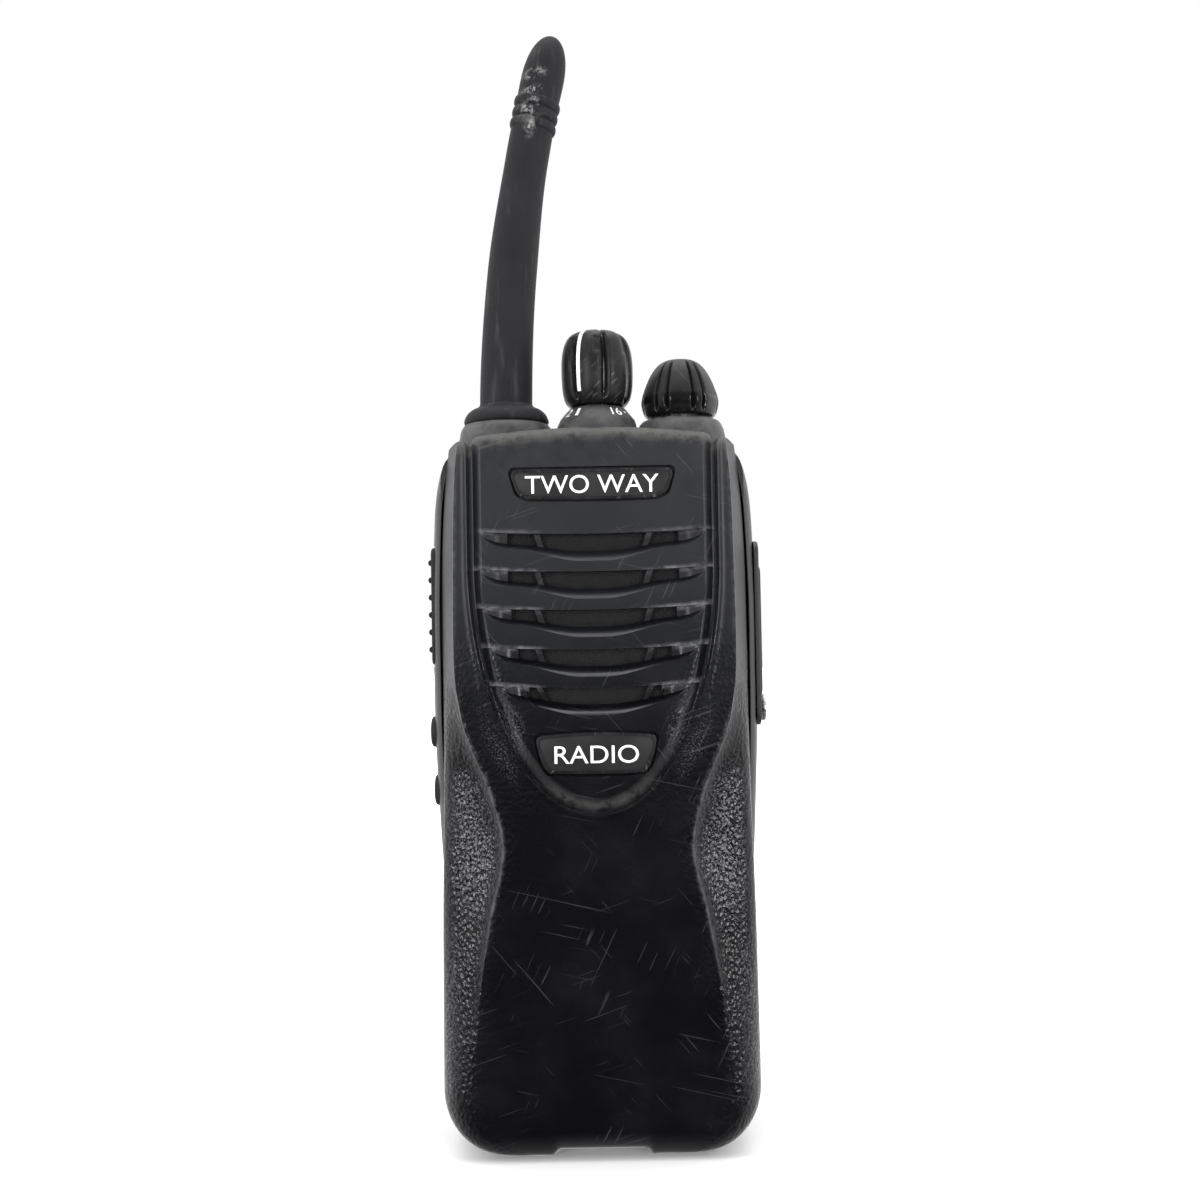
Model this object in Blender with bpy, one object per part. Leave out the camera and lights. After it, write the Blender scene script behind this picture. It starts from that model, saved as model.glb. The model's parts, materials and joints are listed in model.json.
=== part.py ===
"""Hand-held two way radio: body, controls, antenna, battery pack and belt clip.

Written for Blender 4.5. The design is in millimetres and the scene is in metres. The radio stands
on its base: +Z runs up to the antenna, -Y is the speaker side, and the origin is under the middle
of the whole object.
"""

import math

import bmesh
import bpy
from mathutils import Vector

MM = 0.001  # metres in one millimetre of the design
GAP = 0.3  # clear space between pieces that lie against each other

# Depths, front to back.
PANEL_Y = -21.0  # the speaker panel's face, the foremost of all
FACE_Y = -20.0  # the front face beside and below that panel
PARTING_Y = -15.2  # rear edge of the front case
BODY_BACK_Y = -5.0  # back of the radio, where the battery pack lies
PACK_BACK_Y = 12.0
CONTROL_Y = -5.0  # the antenna and both knobs stand in line here

# Heights.
TOP_Z = 117.0  # top face that carries the controls
BROW_Z = 119.0  # top edge of the front case at its middle
HEAD_Z = 97.5  # underside of the full-depth head above the battery pack

WALL = 1.5
FRONT_DEPTH = PARTING_Y - FACE_Y
CORNER_R = 11.0  # the front case's two lower corners
BACK_CORNER_R = 10.6  # the same corners of the rear case and the battery pack
BACK_HALF_WIDTH = 25.8  # the rear case and the battery pack at their feet

ANTENNA_X = -14.9
CHANNEL_X = 1.1
VOLUME_X = 15.7
LED_PLACE = (8.4, -11.8)
SHAFT_R = 3.0
KNOB_BORE_R = 3.3
BUSHING_R = 4.2
CONTROL_BORES = (("antenna", ANTENNA_X, 4.4), ("channel", CHANNEL_X, 4.6), ("volume", VOLUME_X, 4.6))

# Speaker panel: straight sides above PANEL_Z and half an ellipse below it.
PANEL_HALF_WIDTH = 20.8
PANEL_Z = 97.9
PANEL_DROP = 41.5
GROOVE_WIDTH = 1.1
GROOVE_DEPTH = 1.1

# Sound slots, top to bottom: height of the upper edge at the middle, and half length.
SLOTS = [(102.4, 18.8), (96.2, 18.8), (89.9, 18.4), (83.4, 17.2), (77.1, 15.6)]
SLOT_SAG = 0.6  # the upper edge's middle is this much below its ends
SLOT_OPENING = 2.6
SLOT_LEAST = 0.25  # how far a slot stays open at its very ends
SLOT_END = 0.97  # share of the half length that is open
SLOT_RIB = (8.4, 9.6)  # a rib crosses each slot between these distances from the middle
CLOTH = (18.2, 73.4, 103.8, 4.0)  # half width, low, high and corner of the cloth behind the slots

# Badges: half width, low and high.
TOP_BADGE = (13.5, 107.9, 113.2)
LOW_BADGE = (10.2, 62.8, 69.6)

# Front case sections: height, where the front face ends, half width at the rear edge, then the
# two handles of the Bezier side between them: (outward from the first, depth) and (inward from
# the second, depth). The face narrows to a waist for the grip at 51 mm.
WIDEST_FACE = 23.1
SECTIONS = [
    (0.0, 21.0, 26.3, 2.8, 0.1, 0.0, 1.6),
    (14.0, 20.8, 26.3, 2.6, 0.3, 0.0, 1.5),
    (28.0, 19.6, 26.2, 2.2, 1.6, -0.1, 1.3),
    (39.0, 17.8, 26.1, 2.3, 2.5, -0.2, 1.2),
    (51.0, 15.5, 25.9, 2.4, 2.9, -0.2, 1.2),
    (60.0, 17.5, 25.7, 2.2, 2.7, -0.1, 1.5),
    (70.0, 21.5, 25.6, 1.3, 2.0, 0.3, 2.6),
    (79.0, 23.1, 25.6, 0.8, 1.6, 0.8, 3.2),
    (100.0, 23.1, 25.4, 0.8, 1.6, 0.8, 3.2),
    (111.0, 22.8, 24.8, 0.7, 1.6, 0.7, 3.2),
    (119.0, 22.1, 23.9, 0.6, 1.6, 0.6, 3.2),
]

# Side controls, by the heights of their middles.
PTT_Z = 91.2
PTT_HEIGHT = 20.0
KEY_FACES = {"side_key_upper": (69.8, -28.2), "side_key_lower": (59.9, -27.7)}  # height, outermost x
SIDE_Y = -9.7  # middle of the side controls, front to back
SIDE_DEPTH = 6.6
PTT_RIBS = 6
PTT_RIB_PITCH = 2.95
SIDE_BOARD_X = -23.2  # outer face of the board behind those keys
COVER_X = 27.3  # inner face of the accessory cover
COVER_SCREW_Z = 73.0

MICROPHONE = (-9.3, 60.7)  # x and z
SPEAKER_Z = 87.6
SCREW_PLACES = [(-20.8, 15.0), (20.8, 15.0), (-20.8, 91.0), (20.8, 91.0)]
CLIP_PIN = (16.6, 87.0)  # y and z of the belt clip's pin
CLIP_SCREWS = [(-5.5, 77.0), (5.5, 77.0)]  # x and z
CONTACT_X = 6.0  # the battery contacts' distance from the middle
CELL_PITCH = (14.6, 43.2)  # across and up

# Antenna rod.
ROD_Z = 123.1
ROD_TIP_Z = 190.6
ROD_ROOT_R = 4.45
ROD_HOLLOW_R = 2.8
ROD_RINGS = (176.0, 178.2, 180.4)
ROD_CAP = 5.2  # length of the rounded end


def clear_scene():
    for obj in list(bpy.data.objects):
        bpy.data.objects.remove(obj)


def finish(name, colour, roughness, metallic=0.0):
    """A named material, made once and shared by the pieces of one finish."""
    found = bpy.data.materials.get(name)
    if found:
        return found
    material = bpy.data.materials.new(name)
    material.use_nodes = True
    shader = material.node_tree.nodes["Principled BSDF"]
    shader.inputs["Base Color"].default_value = (*colour, 1)
    shader.inputs["Roughness"].default_value = roughness
    shader.inputs["Metallic"].default_value = metallic
    return material


def case_black():
    return finish("case_black", (0.022, 0.023, 0.025), 0.42)


def key_rubber():
    return finish("key_rubber", (0.030, 0.030, 0.031), 0.62)


def antenna_rubber():
    return finish("antenna_rubber", (0.045, 0.045, 0.047), 0.75)


def knob_black():
    return finish("knob_black", (0.018, 0.018, 0.019), 0.35)


def badge_black():
    return finish("badge_black", (0.030, 0.029, 0.030), 0.50)


def bare_metal():
    return finish("bare_metal", (0.62, 0.63, 0.64), 0.35, 1.0)


def brass():
    return finish("brass", (0.80, 0.62, 0.30), 0.30, 1.0)


def board_green():
    return finish("board_green", (0.02, 0.16, 0.07), 0.45)


def cell_sleeve():
    return finish("cell_sleeve", (0.05, 0.22, 0.42), 0.40)


def lens_clear():
    return finish("lens_clear", (0.75, 0.78, 0.78), 0.15)


def cloth_black():
    return finish("cloth_black", (0.012, 0.012, 0.013), 0.90)


def paper_cone():
    return finish("paper_cone", (0.06, 0.055, 0.05), 0.85)


def object_of(name, bm, material, at=(0, 0, 0), smooth_under=35):
    """Turns a bmesh in millimetres into a scene object whose origin is at the place given."""
    bmesh.ops.recalc_face_normals(bm, faces=bm.faces)
    bmesh.ops.scale(bm, vec=(MM, MM, MM), verts=bm.verts)
    mesh = bpy.data.meshes.new(name)
    bm.to_mesh(mesh)
    bm.free()
    mesh.materials.append(material)
    mesh.shade_smooth()
    mesh.set_sharp_from_angle(angle=math.radians(smooth_under))
    obj = bpy.data.objects.new(name, mesh)
    obj.location = Vector(at) * MM
    bpy.context.scene.collection.objects.link(obj)
    return obj


def box(name, low, high, material, bevel=0.0):
    """A block between two corners, with its edges rounded if a bevel is given."""
    size = Vector(high) - Vector(low)
    bm = bmesh.new()
    bmesh.ops.create_cube(bm, size=1.0)
    bmesh.ops.scale(bm, vec=size, verts=bm.verts)
    if bevel:
        bmesh.ops.bevel(bm, geom=bm.edges[:], offset=bevel, segments=2, profile=0.5, affect="EDGES")
    return object_of(name, bm, material, (Vector(low) + Vector(high)) / 2)


def prism(name, outline, axis, low, high, material, at=(0, 0, 0), bevel=0.0):
    """An outline pushed along X, Y or Z. Its two numbers are the other two axes, in XYZ order."""
    place = {
        "X": lambda p, h: (h, p[0], p[1]),
        "Y": lambda p, h: (p[0], h, p[1]),
        "Z": lambda p, h: (p[0], p[1], h),
    }[axis]
    bm = bmesh.new()
    face = bm.faces.new([bm.verts.new(place(p, low)) for p in outline])
    made = bmesh.ops.extrude_face_region(bm, geom=[face])["geom"]
    far = [v for v in made if isinstance(v, bmesh.types.BMVert)]
    step = Vector(place((0, 0), high - low))
    bmesh.ops.translate(bm, vec=step, verts=far)
    if bevel:
        rim = [e for e in bm.edges if all(v in far for v in e.verts)]
        bmesh.ops.bevel(bm, geom=rim, offset=bevel, segments=3, profile=0.5, affect="EDGES")
    return object_of(name, bm, material, at)


def turned(name, profile, at, material, axis="Z", segments=32, closed=False):
    """A profile of (radius, height) points spun about an axis. An open one starts and ends on it."""
    up = {"X": Vector((1, 0, 0)), "Y": Vector((0, 1, 0)), "Z": Vector((0, 0, 1))}[axis]
    out = Vector((0, 1, 0)) if axis == "X" else Vector((1, 0, 0))
    bm = bmesh.new()
    points = [bm.verts.new(out * r + up * h) for r, h in profile]
    edges = [bm.edges.new(pair) for pair in zip(points, points[1:])]
    if closed:
        edges.append(bm.edges.new((points[-1], points[0])))
    bmesh.ops.spin(
        bm, geom=points + edges, cent=(0, 0, 0), axis=up, angle=math.tau, steps=segments, use_merge=True
    )
    bmesh.ops.remove_doubles(bm, verts=bm.verts, dist=1e-4)
    return object_of(name, bm, material, at)


def bar(name, radius, length, at, material, axis="Z", segments=16):
    """A plain round bar, or the cutter of a bore, that starts at a point and runs along an axis."""
    return turned(name, [(0, 0), (radius, 0), (radius, length), (0, length)], at, material, axis, segments)


def rings_object(name, rings, material, at=(0, 0, 0)):
    """Closed skin over rings of equal count, in order, with a flat cap on the first and last."""
    bm = bmesh.new()
    loops = [[bm.verts.new(p) for p in ring] for ring in rings]
    count = len(loops[0])
    for lower, upper in zip(loops, loops[1:]):
        for i in range(count):
            j = (i + 1) % count
            bm.faces.new((lower[i], lower[j], upper[j], upper[i]))
    bm.faces.new(loops[0][::-1])
    bm.faces.new(loops[-1])
    return object_of(name, bm, material, at)


def combine(obj, other, operation):
    """Boolean of another object into obj. The other one stays as a hidden guide."""
    modifier = obj.modifiers.new(f"{operation.lower()} {other.name}", "BOOLEAN")
    modifier.operation = operation
    modifier.object = other
    modifier.solver = "EXACT"
    other.hide_render = True
    other.display_type = "WIRE"


def cut(obj, *cutters):
    for cutter in cutters:
        combine(obj, cutter, "DIFFERENCE")


def join(obj, *others):
    for other in others:
        combine(obj, other, "UNION")


def pivot(name, at, pieces):
    """An empty on a joint's axis, with the pieces that move about it as its children."""
    empty = bpy.data.objects.new(name, None)
    empty.location = Vector(at) * MM
    empty.empty_display_size = 5 * MM
    bpy.context.scene.collection.objects.link(empty)
    for piece in pieces:
        piece.location = piece.location - empty.location
        piece.parent = empty
    return empty


def arc(centre, radius, start, end, count):
    """Points on an arc, in degrees, both ends included."""
    angles = [math.radians(start + (end - start) * i / count) for i in range(count + 1)]
    return [(centre[0] + radius * math.cos(a), centre[1] + radius * math.sin(a)) for a in angles]


def mirrored(right):
    """An outline from its right half, given from bottom to top."""
    return right + [(-x, z) for x, z in reversed(right)]


def rounded(half_width, low, high, corner, count=4):
    """Rectangle with round corners, centred on 0 in its first direction."""
    inner = half_width - corner
    lower = arc((inner, low + corner), corner, -90, 0, count)
    upper = arc((inner, high - corner), corner, 0, 90, count)
    return mirrored(lower + upper)


def smooth(t):
    t = min(1.0, max(0.0, t))
    return t * t * (3 - 2 * t)


def section_at(z):
    """The front case's section values at a height, by Catmull-Rom between SECTIONS."""
    z = min(max(z, SECTIONS[0][0]), SECTIONS[-1][0])
    last = len(SECTIONS) - 2
    i = min(last, max(k for k in range(len(SECTIONS)) if SECTIONS[k][0] <= z))
    before, a, b, after = (SECTIONS[min(max(i + k, 0), last + 1)] for k in (-1, 0, 1, 2))
    span = b[0] - a[0]
    t = (z - a[0]) / span
    values = []
    for k in range(1, len(a)):
        slope_a = (b[k] - before[k]) / (b[0] - before[0]) * span
        slope_b = (after[k] - a[k]) / (after[0] - a[0]) * span
        values.append(
            a[k] * (2 * t**3 - 3 * t**2 + 1)
            + slope_a * (t**3 - 2 * t**2 + t)
            + b[k] * (3 * t**2 - 2 * t**3)
            + slope_b * (t**3 - t**2)
        )
    return values


def corner_share(z):
    """How much of its full width the front case still has at this height, in its round corners."""
    full = SECTIONS[0][2]
    below = CORNER_R - min(z, CORNER_R)
    return (full - CORNER_R + math.sqrt(CORNER_R**2 - below**2)) / full


def bezier(a, b, c, d, t):
    s = 1 - t
    return a * s**3 + 3 * b * s**2 * t + 3 * c * s * t**2 + d * t**3


def panel_relief(x, z):
    """How far the front stands forward here: the raised speaker panel in its groove."""
    if z > PANEL_Z:
        inside = PANEL_HALF_WIDTH - abs(x)
    else:
        u, v = x / PANEL_HALF_WIDTH, (z - PANEL_Z) / PANEL_DROP
        r = math.hypot(u, v)
        slope = math.hypot(u / PANEL_HALF_WIDTH, v / PANEL_DROP) / max(r, 1e-6)
        inside = (1 - r) / slope
    low = smooth((PANEL_Z - z) / PANEL_DROP * 1.4 - 0.4)  # 1 at the panel's foot
    groove = GROOVE_DEPTH * (1 - 0.8 * low)
    rim = GROOVE_WIDTH * (1 - 0.7 * low)
    bank = 1.3 + 1.3 * low
    if inside <= 0:
        return 0.0
    if inside < rim:
        return -groove * smooth(inside / rim * 2)
    return -groove + (groove + FACE_Y - PANEL_Y) * smooth((inside - rim) / bank)


def slot_edges(slot, x):
    """Upper and lower edge of a slot's opening at x."""
    middle, half = slot
    share = min(1.0, (x / half) ** 2)
    upper = middle + SLOT_SAG * share
    return upper, upper - max(SLOT_LEAST, SLOT_OPENING * (1 - share))


def front_rows():
    """Rows of the front case from its rear edge under the base, up the face, to the rear edge on
    top. Each is (how far it has turned back towards the parting line, height at x, slot index)."""
    rows = [(FRONT_DEPTH, 0.0), (3.5, 0.0), (2.0, 0.7), (1.1, 1.7), (0.35, 3.4), (0.0, 6.0)]
    rows = [(e, lambda x, z=z: z, None) for e, z in rows]
    for z in (11, 18, 26, 34, 42, 48, 54, 57.5, 60, 63, 66, 69.5, 72.5):
        rows.append((0.0, lambda x, z=z: z, None))
    for k in reversed(range(len(SLOTS))):
        rows.append((0.0, lambda x, k=k: slot_edges(SLOTS[k], x)[1], k))
        rows.append((0.0, lambda x, k=k: slot_edges(SLOTS[k], x)[0], None))
        if k:
            rows.append((0.0, lambda x, k=k: between_slots(k, x), None))
    first = SLOTS[0][0]
    for z in (106.0, 110.5, 115.0):
        rows.append((0.0, lambda x, z=z: z - brow_fall(x) * (z - first) / (BROW_Z - first), None))
    for e, below in ((0.15, 1.1), (0.7, 0.3), (1.6, 0.0), (FRONT_DEPTH, 0.0)):
        rows.append((e, lambda x, d=below: BROW_Z - d - brow_fall(x), None))
    return rows


def between_slots(k, x):
    """Height half way between a slot and the one above it."""
    return (slot_edges(SLOTS[k], x)[0] + slot_edges(SLOTS[k - 1], x)[1]) / 2


def brow_fall(x):
    """The top edge of the front case falls this much towards its sides."""
    return 1.3 * min(1.0, (x / 23) ** 2)


def front_columns():
    """Half of the front case's columns: (share of the face, share of the side)."""
    face = [0, 2.8, 5.6, SLOT_RIB[0], SLOT_RIB[1], 12.4, 15.2, 17.6, 19.0, 20.0, PANEL_HALF_WIDTH]
    columns = [(x / WIDEST_FACE, 0.0) for x in face] + [(1.0, 0.0)]
    return columns + [(1.0, t) for t in (0.25, 0.5, 0.75, 1.0)]


def front_point(row, column, side):
    """Outer and inner point of the front case where a row and a column cross."""
    turned_back, height, _ = row
    face, along = column
    z = height(0.0)
    for _ in range(2):  # the height depends on x a little, and x on the height
        ridge, edge, out_x, out_d, in_x, in_d = section_at(z)
        squeeze = corner_share(z)
        ridge, edge = ridge * squeeze, edge * squeeze
        x = bezier(ridge * face, ridge + out_x * squeeze, edge - in_x, edge, along) if along else ridge * face
        z = height(x)
    depth = bezier(0.0, out_d, in_d, FRONT_DEPTH, along)
    flat = 1 - turned_back / FRONT_DEPTH
    deep = FRONT_DEPTH - (FRONT_DEPTH - depth) * flat
    notch = 0.9 * (1 - smooth((x - 6.4) / 2.1)) * max(0.0, 1 - z / 6)
    relief = panel_relief(x, z) * flat if not along else 0.0
    outer = (side * x, FACE_Y + deep - relief, z + notch)
    inner_z = z + WALL * max(0.0, 1 - z / 12) - WALL * max(0.0, (z - 107) / 12)
    inner_deep = WALL + (FRONT_DEPTH - WALL) * deep / FRONT_DEPTH
    inner = (side * (x - WALL * face**4), FACE_Y + inner_deep, inner_z)
    return outer, inner


def front_shell(material):
    """The front case as two skins, bridged along its rear edge and around each sound slot."""
    rows = front_rows()
    half = front_columns()
    columns = [(c, -1) for c in reversed(half[1:])] + [(c, 1) for c in half]
    bm = bmesh.new()
    skins = ([], [])
    for row in rows:
        pairs = [front_point(row, column, side) for column, side in columns]
        for skin, points in zip(skins, zip(*pairs)):
            skin.append([bm.verts.new(p) for p in points])

    def is_open(i, j):
        if not (0 <= i < len(rows) - 1 and 0 <= j < len(columns) - 1):
            return True
        slot = rows[i][2]
        if slot is None:
            return False
        across = sorted(abs(skins[0][i][k].co.x) for k in (j, j + 1))
        in_rib = across[0] >= SLOT_RIB[0] - 0.1 and across[1] <= SLOT_RIB[1] + 0.1
        return across[1] < SLOTS[slot][1] * SLOT_END and not in_rib

    for i in range(len(rows) - 1):
        for j in range(len(columns) - 1):
            if is_open(i, j):
                continue
            square = ((i, j), (i, j + 1), (i + 1, j + 1), (i + 1, j))
            bm.faces.new([skins[0][a][b] for a, b in square])
            bm.faces.new([skins[1][a][b] for a, b in reversed(square)])
            beside = ((i - 1, j), (i, j + 1), (i + 1, j), (i, j - 1))
            for (a, b), next_cell in zip(zip(square, square[1:] + square[:1]), beside):
                if is_open(*next_cell):
                    o, n = skins
                    bm.faces.new((o[b[0]][b[1]], o[a[0]][a[1]], n[a[0]][a[1]], n[b[0]][b[1]]))
    return object_of("front_case", bm, material, smooth_under=40)


def badge_outline(half_width, low, high):
    """Badge shape: flat on top, with sides that turn in to a bowed lower edge."""
    height = high - low
    right = [
        (0.0, low),
        (half_width * 0.5, low + height * 0.05),
        (half_width * 0.82, low + height * 0.2),
        (half_width * 0.95, low + height * 0.5),
        (half_width, high - height * 0.2),
        (half_width * 0.96, high),
    ]
    return right + [(-x, z) for x, z in reversed(right[1:])]


def badge_recess(name, shape):
    """Cutter for a badge's seat in the speaker panel."""
    half_width, low, high = shape
    outline = badge_outline(half_width + GAP, low - GAP, high + GAP)
    return prism(name, outline, "Y", PANEL_Y - 1, PANEL_Y + 1.0, case_black())


def case_front():
    black = case_black()
    case = front_shell(black)
    for k, (x, z) in enumerate(SCREW_PLACES):
        join(case, bar(f"post_{k}", 2.3, 6.8, (x, -19.0, z), black, "Y"))
    for k, (x, z) in enumerate(SCREW_PLACES):
        cut(case, bar(f"pilot_{k}", 1.3, 5.6, (x, -17.4, z), black, "Y", 12))
    x, z = MICROPHONE
    cut(case, bar("mic_hole", 0.5, 5.0, (x, PANEL_Y - 1, z), black, "Y", 10))
    for name, shape in (("top", TOP_BADGE), ("lower", LOW_BADGE)):
        cut(case, badge_recess(f"{name}_seat", shape))
        prism(f"{name}_badge", badge_outline(*shape), "Y", PANEL_Y + 0.2, PANEL_Y + 0.7, badge_black())


def rear_outline(inset=0.0):
    """Outline of the rear case seen from the front."""
    centre = (BACK_HALF_WIDTH - BACK_CORNER_R, BACK_CORNER_R)
    right = arc(centre, BACK_CORNER_R - inset, -90, 0, 6)
    sides = [(26.0, 40), (26.6, 50), (27.1, 60), (27.5, 70), (27.6, 82), (27.6, 93), (27.2, 105)]
    head = [(26.5, 110), (25.0, 114.6)]
    right += [(x - inset, z) for x, z in sides + head]
    right.append((23.8 - inset, TOP_Z - inset))
    return mirrored(right)


def head_plan():
    """Plan of the head, from the rear case's front edge back to the battery pack's back face."""
    corner = 5.5
    right = [(BACK_HALF_WIDTH - 0.2, PARTING_Y + GAP), (BACK_HALF_WIDTH, -4.0)]
    right += arc((BACK_HALF_WIDTH - corner, PACK_BACK_Y - corner), corner, 0, 90, 5)
    return right + [(-x, y) for x, y in reversed(right)]


def case_rear():
    black = case_black()
    case = prism("rear_case", rear_outline(), "Y", PARTING_Y + GAP, BODY_BACK_Y, black)
    join(case, prism("head_block", head_plan(), "Z", HEAD_Z, TOP_Z - 0.02, black, bevel=1.0))
    for side in (-1, 1):
        low, high = (side * 16.6 - 2.7, -14.6, 0.0), (side * 16.6 + 2.7, -6.0, 2.4)
        join(case, box(f"foot_{side}", low, high, black))
    hollow = prism("body_hollow", rear_outline(1.6), "Y", PARTING_Y - 1, BODY_BACK_Y - WALL, black)
    loft = prism("head_hollow", rounded(23.4, -14.0, 10.4, 4.0), "Z", HEAD_Z + 1.7, TOP_Z - 1.7, black)
    cut(case, hollow, loft)
    side_windows(case, black)
    cut(
        case,
        box("contact_window", (-9, -8, 85.4), (9, -4, 90.6), black),
        box("latch_window", (-6.0, -14.2, -1), (6.0, -4, 3.2), black),
        box("catch_window", (6.6, -12.8, -1), (13.8, -8.2, 3.2), black),
    )
    for name, x, radius in CONTROL_BORES:
        cut(case, bar(f"{name}_bore", radius, 4.0, (x, CONTROL_Y, TOP_Z - 3), black, segments=32))
    cut(case, bar("led_bore", 1.5, 4.0, (*LED_PLACE, TOP_Z - 3), black))
    for k, (x, z) in enumerate(SCREW_PLACES):
        case_screw(case, k, x, z)


def side_windows(case, black):
    """Holes in the rear case's flanks for the keys on one side and the accessory socket on the other."""
    half = SIDE_DEPTH / 2 + 0.2
    outer = BACK_HALF_WIDTH + 3.2
    low, high = (-outer, SIDE_Y - half, PTT_Z - 10.3), (-24.0, SIDE_Y + half, PTT_Z + 10.3)
    cut(case, box("ptt_window", low, high, black))
    for name, (z, _) in KEY_FACES.items():
        low, high = (-outer, SIDE_Y - 3.0, z - 3.1), (-24.0, SIDE_Y + 3.0, z + 3.1)
        cut(case, box(f"{name}_window", low, high, black))
    cut(
        case,
        box("cover_pocket", (COVER_X - GAP, SIDE_Y - half, 69.7), (outer, SIDE_Y + half, 101.7), black),
        box("jack_window", (24.0, SIDE_Y - 3.0, 76.2), (outer, SIDE_Y + 3.0, 88.6), black),
        bar("thumb_bore", 1.6, 4.0, (25.0, SIDE_Y, COVER_SCREW_Z), black, "X"),
    )


def case_screw(case, k, x, z):
    """One of the four screws that go in from the back, and its seat in the rear case."""
    seat = [(0, -3), (1.3, -3), (1.3, 0.4), (2.3, 0.4), (2.3, 2.0), (0, 2.0)]
    cut(case, turned(f"screw_seat_{k}", seat, (x, BODY_BACK_Y - WALL, z), case_black(), "Y", 16))
    shape = [(0, 0), (0.95, 0), (0.95, 9.3), (1.95, 9.3), (1.95, 9.8), (1.7, 10.0), (0, 10.0)]
    turned(f"case_screw_{k + 1}", shape, (x, -15.1, z), bare_metal(), "Y", 16)


def speaker():
    centre = (0.0, -17.6, SPEAKER_Z)
    prism("grille_cloth", rounded(*CLOTH), "Y", -18.2, -17.9, cloth_black())
    frame = [(16.2, 0), (18.0, 0), (18.0, 1.5), (9.2, 4.0), (9.2, 3.2), (16.2, 1.2)]
    turned("speaker_frame", frame, centre, bare_metal(), "Y", 32, closed=True)
    cone = [(0, 1.5), (3.5, 1.9), (15.7, 0.1), (15.7, 0.5), (3.5, 2.3), (0, 1.9)]
    turned("speaker_cone", cone, centre, paper_cone(), "Y", 32)
    magnet = [(0, 2.9), (8.3, 2.9), (8.6, 3.2), (8.6, 5.2), (0, 5.2)]
    turned("speaker_magnet", magnet, centre, bare_metal(), "Y", 24)
    capsule = [(0, 0), (2.8, 0), (3.0, 0.2), (3.0, 2.5), (0, 2.5)]
    x, z = MICROPHONE
    turned("microphone", capsule, (x, -18.2, z), bare_metal(), "Y", 20)


def electronics():
    plate = prism("chassis_plate", rounded(23.6, 4.0, 96.0, 8.0, 3), "Y", -8.3, -6.9, bare_metal())
    for k, (x, z) in enumerate(SCREW_PLACES):
        cut(plate, bar(f"plate_hole_{k}", 1.4, 4.0, (x, -9.5, z), bare_metal(), "Y", 12))
    cut(plate, box("jack_notch", (21.0, -9.5, 75.8), (25.0, -6.0, 88.6), bare_metal()))
    box("main_board", (-17.6, -11.9, 8.0), (17.6, -10.7, 104.0), board_green())
    box("shield_can_upper", (-13.5, -10.4, 56.0), (14.0, -8.7, 82.0), bare_metal(), 0.3)
    box("shield_can_lower", (-13.5, -10.4, 18.0), (10.0, -8.7, 48.0), bare_metal(), 0.3)
    side_board()
    contacts = box("contact_block", (-8.6, -6.6, 85.8), (8.6, -5.4, 90.2), brass())
    for side in (-1, 1):
        pin = [(0, 0), (1.0, 0), (1.0, 0.9), (0.6, 1.3), (0, 1.3)]
        place = (side * CONTACT_X, -6.2, 88.0)
        join(contacts, turned(f"contact_pin_{side}", pin, place, brass(), "Y", 12))
    lens = [(0, 0), (1.9, 0), (1.9, 0.6), (1.2, 0.6), (1.2, 2.4), (0.8, 2.8), (0, 3.0)]
    turned("led_lens", lens, (*LED_PLACE, TOP_Z - 2.6), lens_clear(), segments=16)


def side_board():
    """The board behind the side keys, with a dome switch for each of them."""
    low, high = (SIDE_BOARD_X, SIDE_Y - 2.2, 55.0), (SIDE_BOARD_X + 0.8, SIDE_Y + 1.0, 101.0)
    board = box("side_board", low, high, board_green())
    dome = [(0, 0.1), (1.5, 0.1), (1.3, -0.25), (0, -0.45)]
    for k, z in enumerate([PTT_Z, *(z for z, _ in KEY_FACES.values())]):
        place = (SIDE_BOARD_X, SIDE_Y - 0.6, z)
        join(board, turned(f"dome_{k}", dome, place, board_green(), "X", 12))


def fluted(count, depth, sharpness=3.0):
    """Radius factor round a fluted knob: broad lobes with narrow valleys between them."""

    def factor(angle):
        valley = (0.5 + 0.5 * math.cos(angle * count)) ** sharpness
        return 1 - depth * valley

    return factor


def knob(name, x, profile, bore_top, lobes, depth, segments):
    """A knob as a skin of rings: up the fluted outside, over the crown and down into its bore."""
    factor = fluted(lobes, depth)
    angles = [math.tau * i / segments for i in range(segments)]

    def ring(radius, z, share):
        radii = [radius * (1 + (factor(a) - 1) * share) for a in angles]
        return [(r * math.cos(a), r * math.sin(a), z) for r, a in zip(radii, angles)]

    rings = [ring(KNOB_BORE_R, bore_top, 0), ring(KNOB_BORE_R, profile[0][1], 0)]
    rings += [ring(r, z, share) for r, z, share in profile]
    return rings_object(name, rings, knob_black(), (x, CONTROL_Y, 0))


def shaft(name, x, top):
    return bar(name, SHAFT_R, top - 114.0, (x, CONTROL_Y, 114.0), bare_metal(), segments=20)


def switch_body(name, x):
    """A rotary control's body with the bushing that its shaft turns in."""
    body = box(name, (x - 5.6, -10.3, 105.0), (x + 5.6, 0.6, 113.9), bare_metal(), 0.4)
    bushing = bar(f"{name}_bushing", BUSHING_R, 4.8, (x, CONTROL_Y, 113.0), bare_metal(), segments=32)
    join(body, bushing)
    cut(body, bar(f"{name}_well", SHAFT_R + 0.4, 6.0, (x, CONTROL_Y, 113.6), bare_metal(), segments=32))


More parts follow.
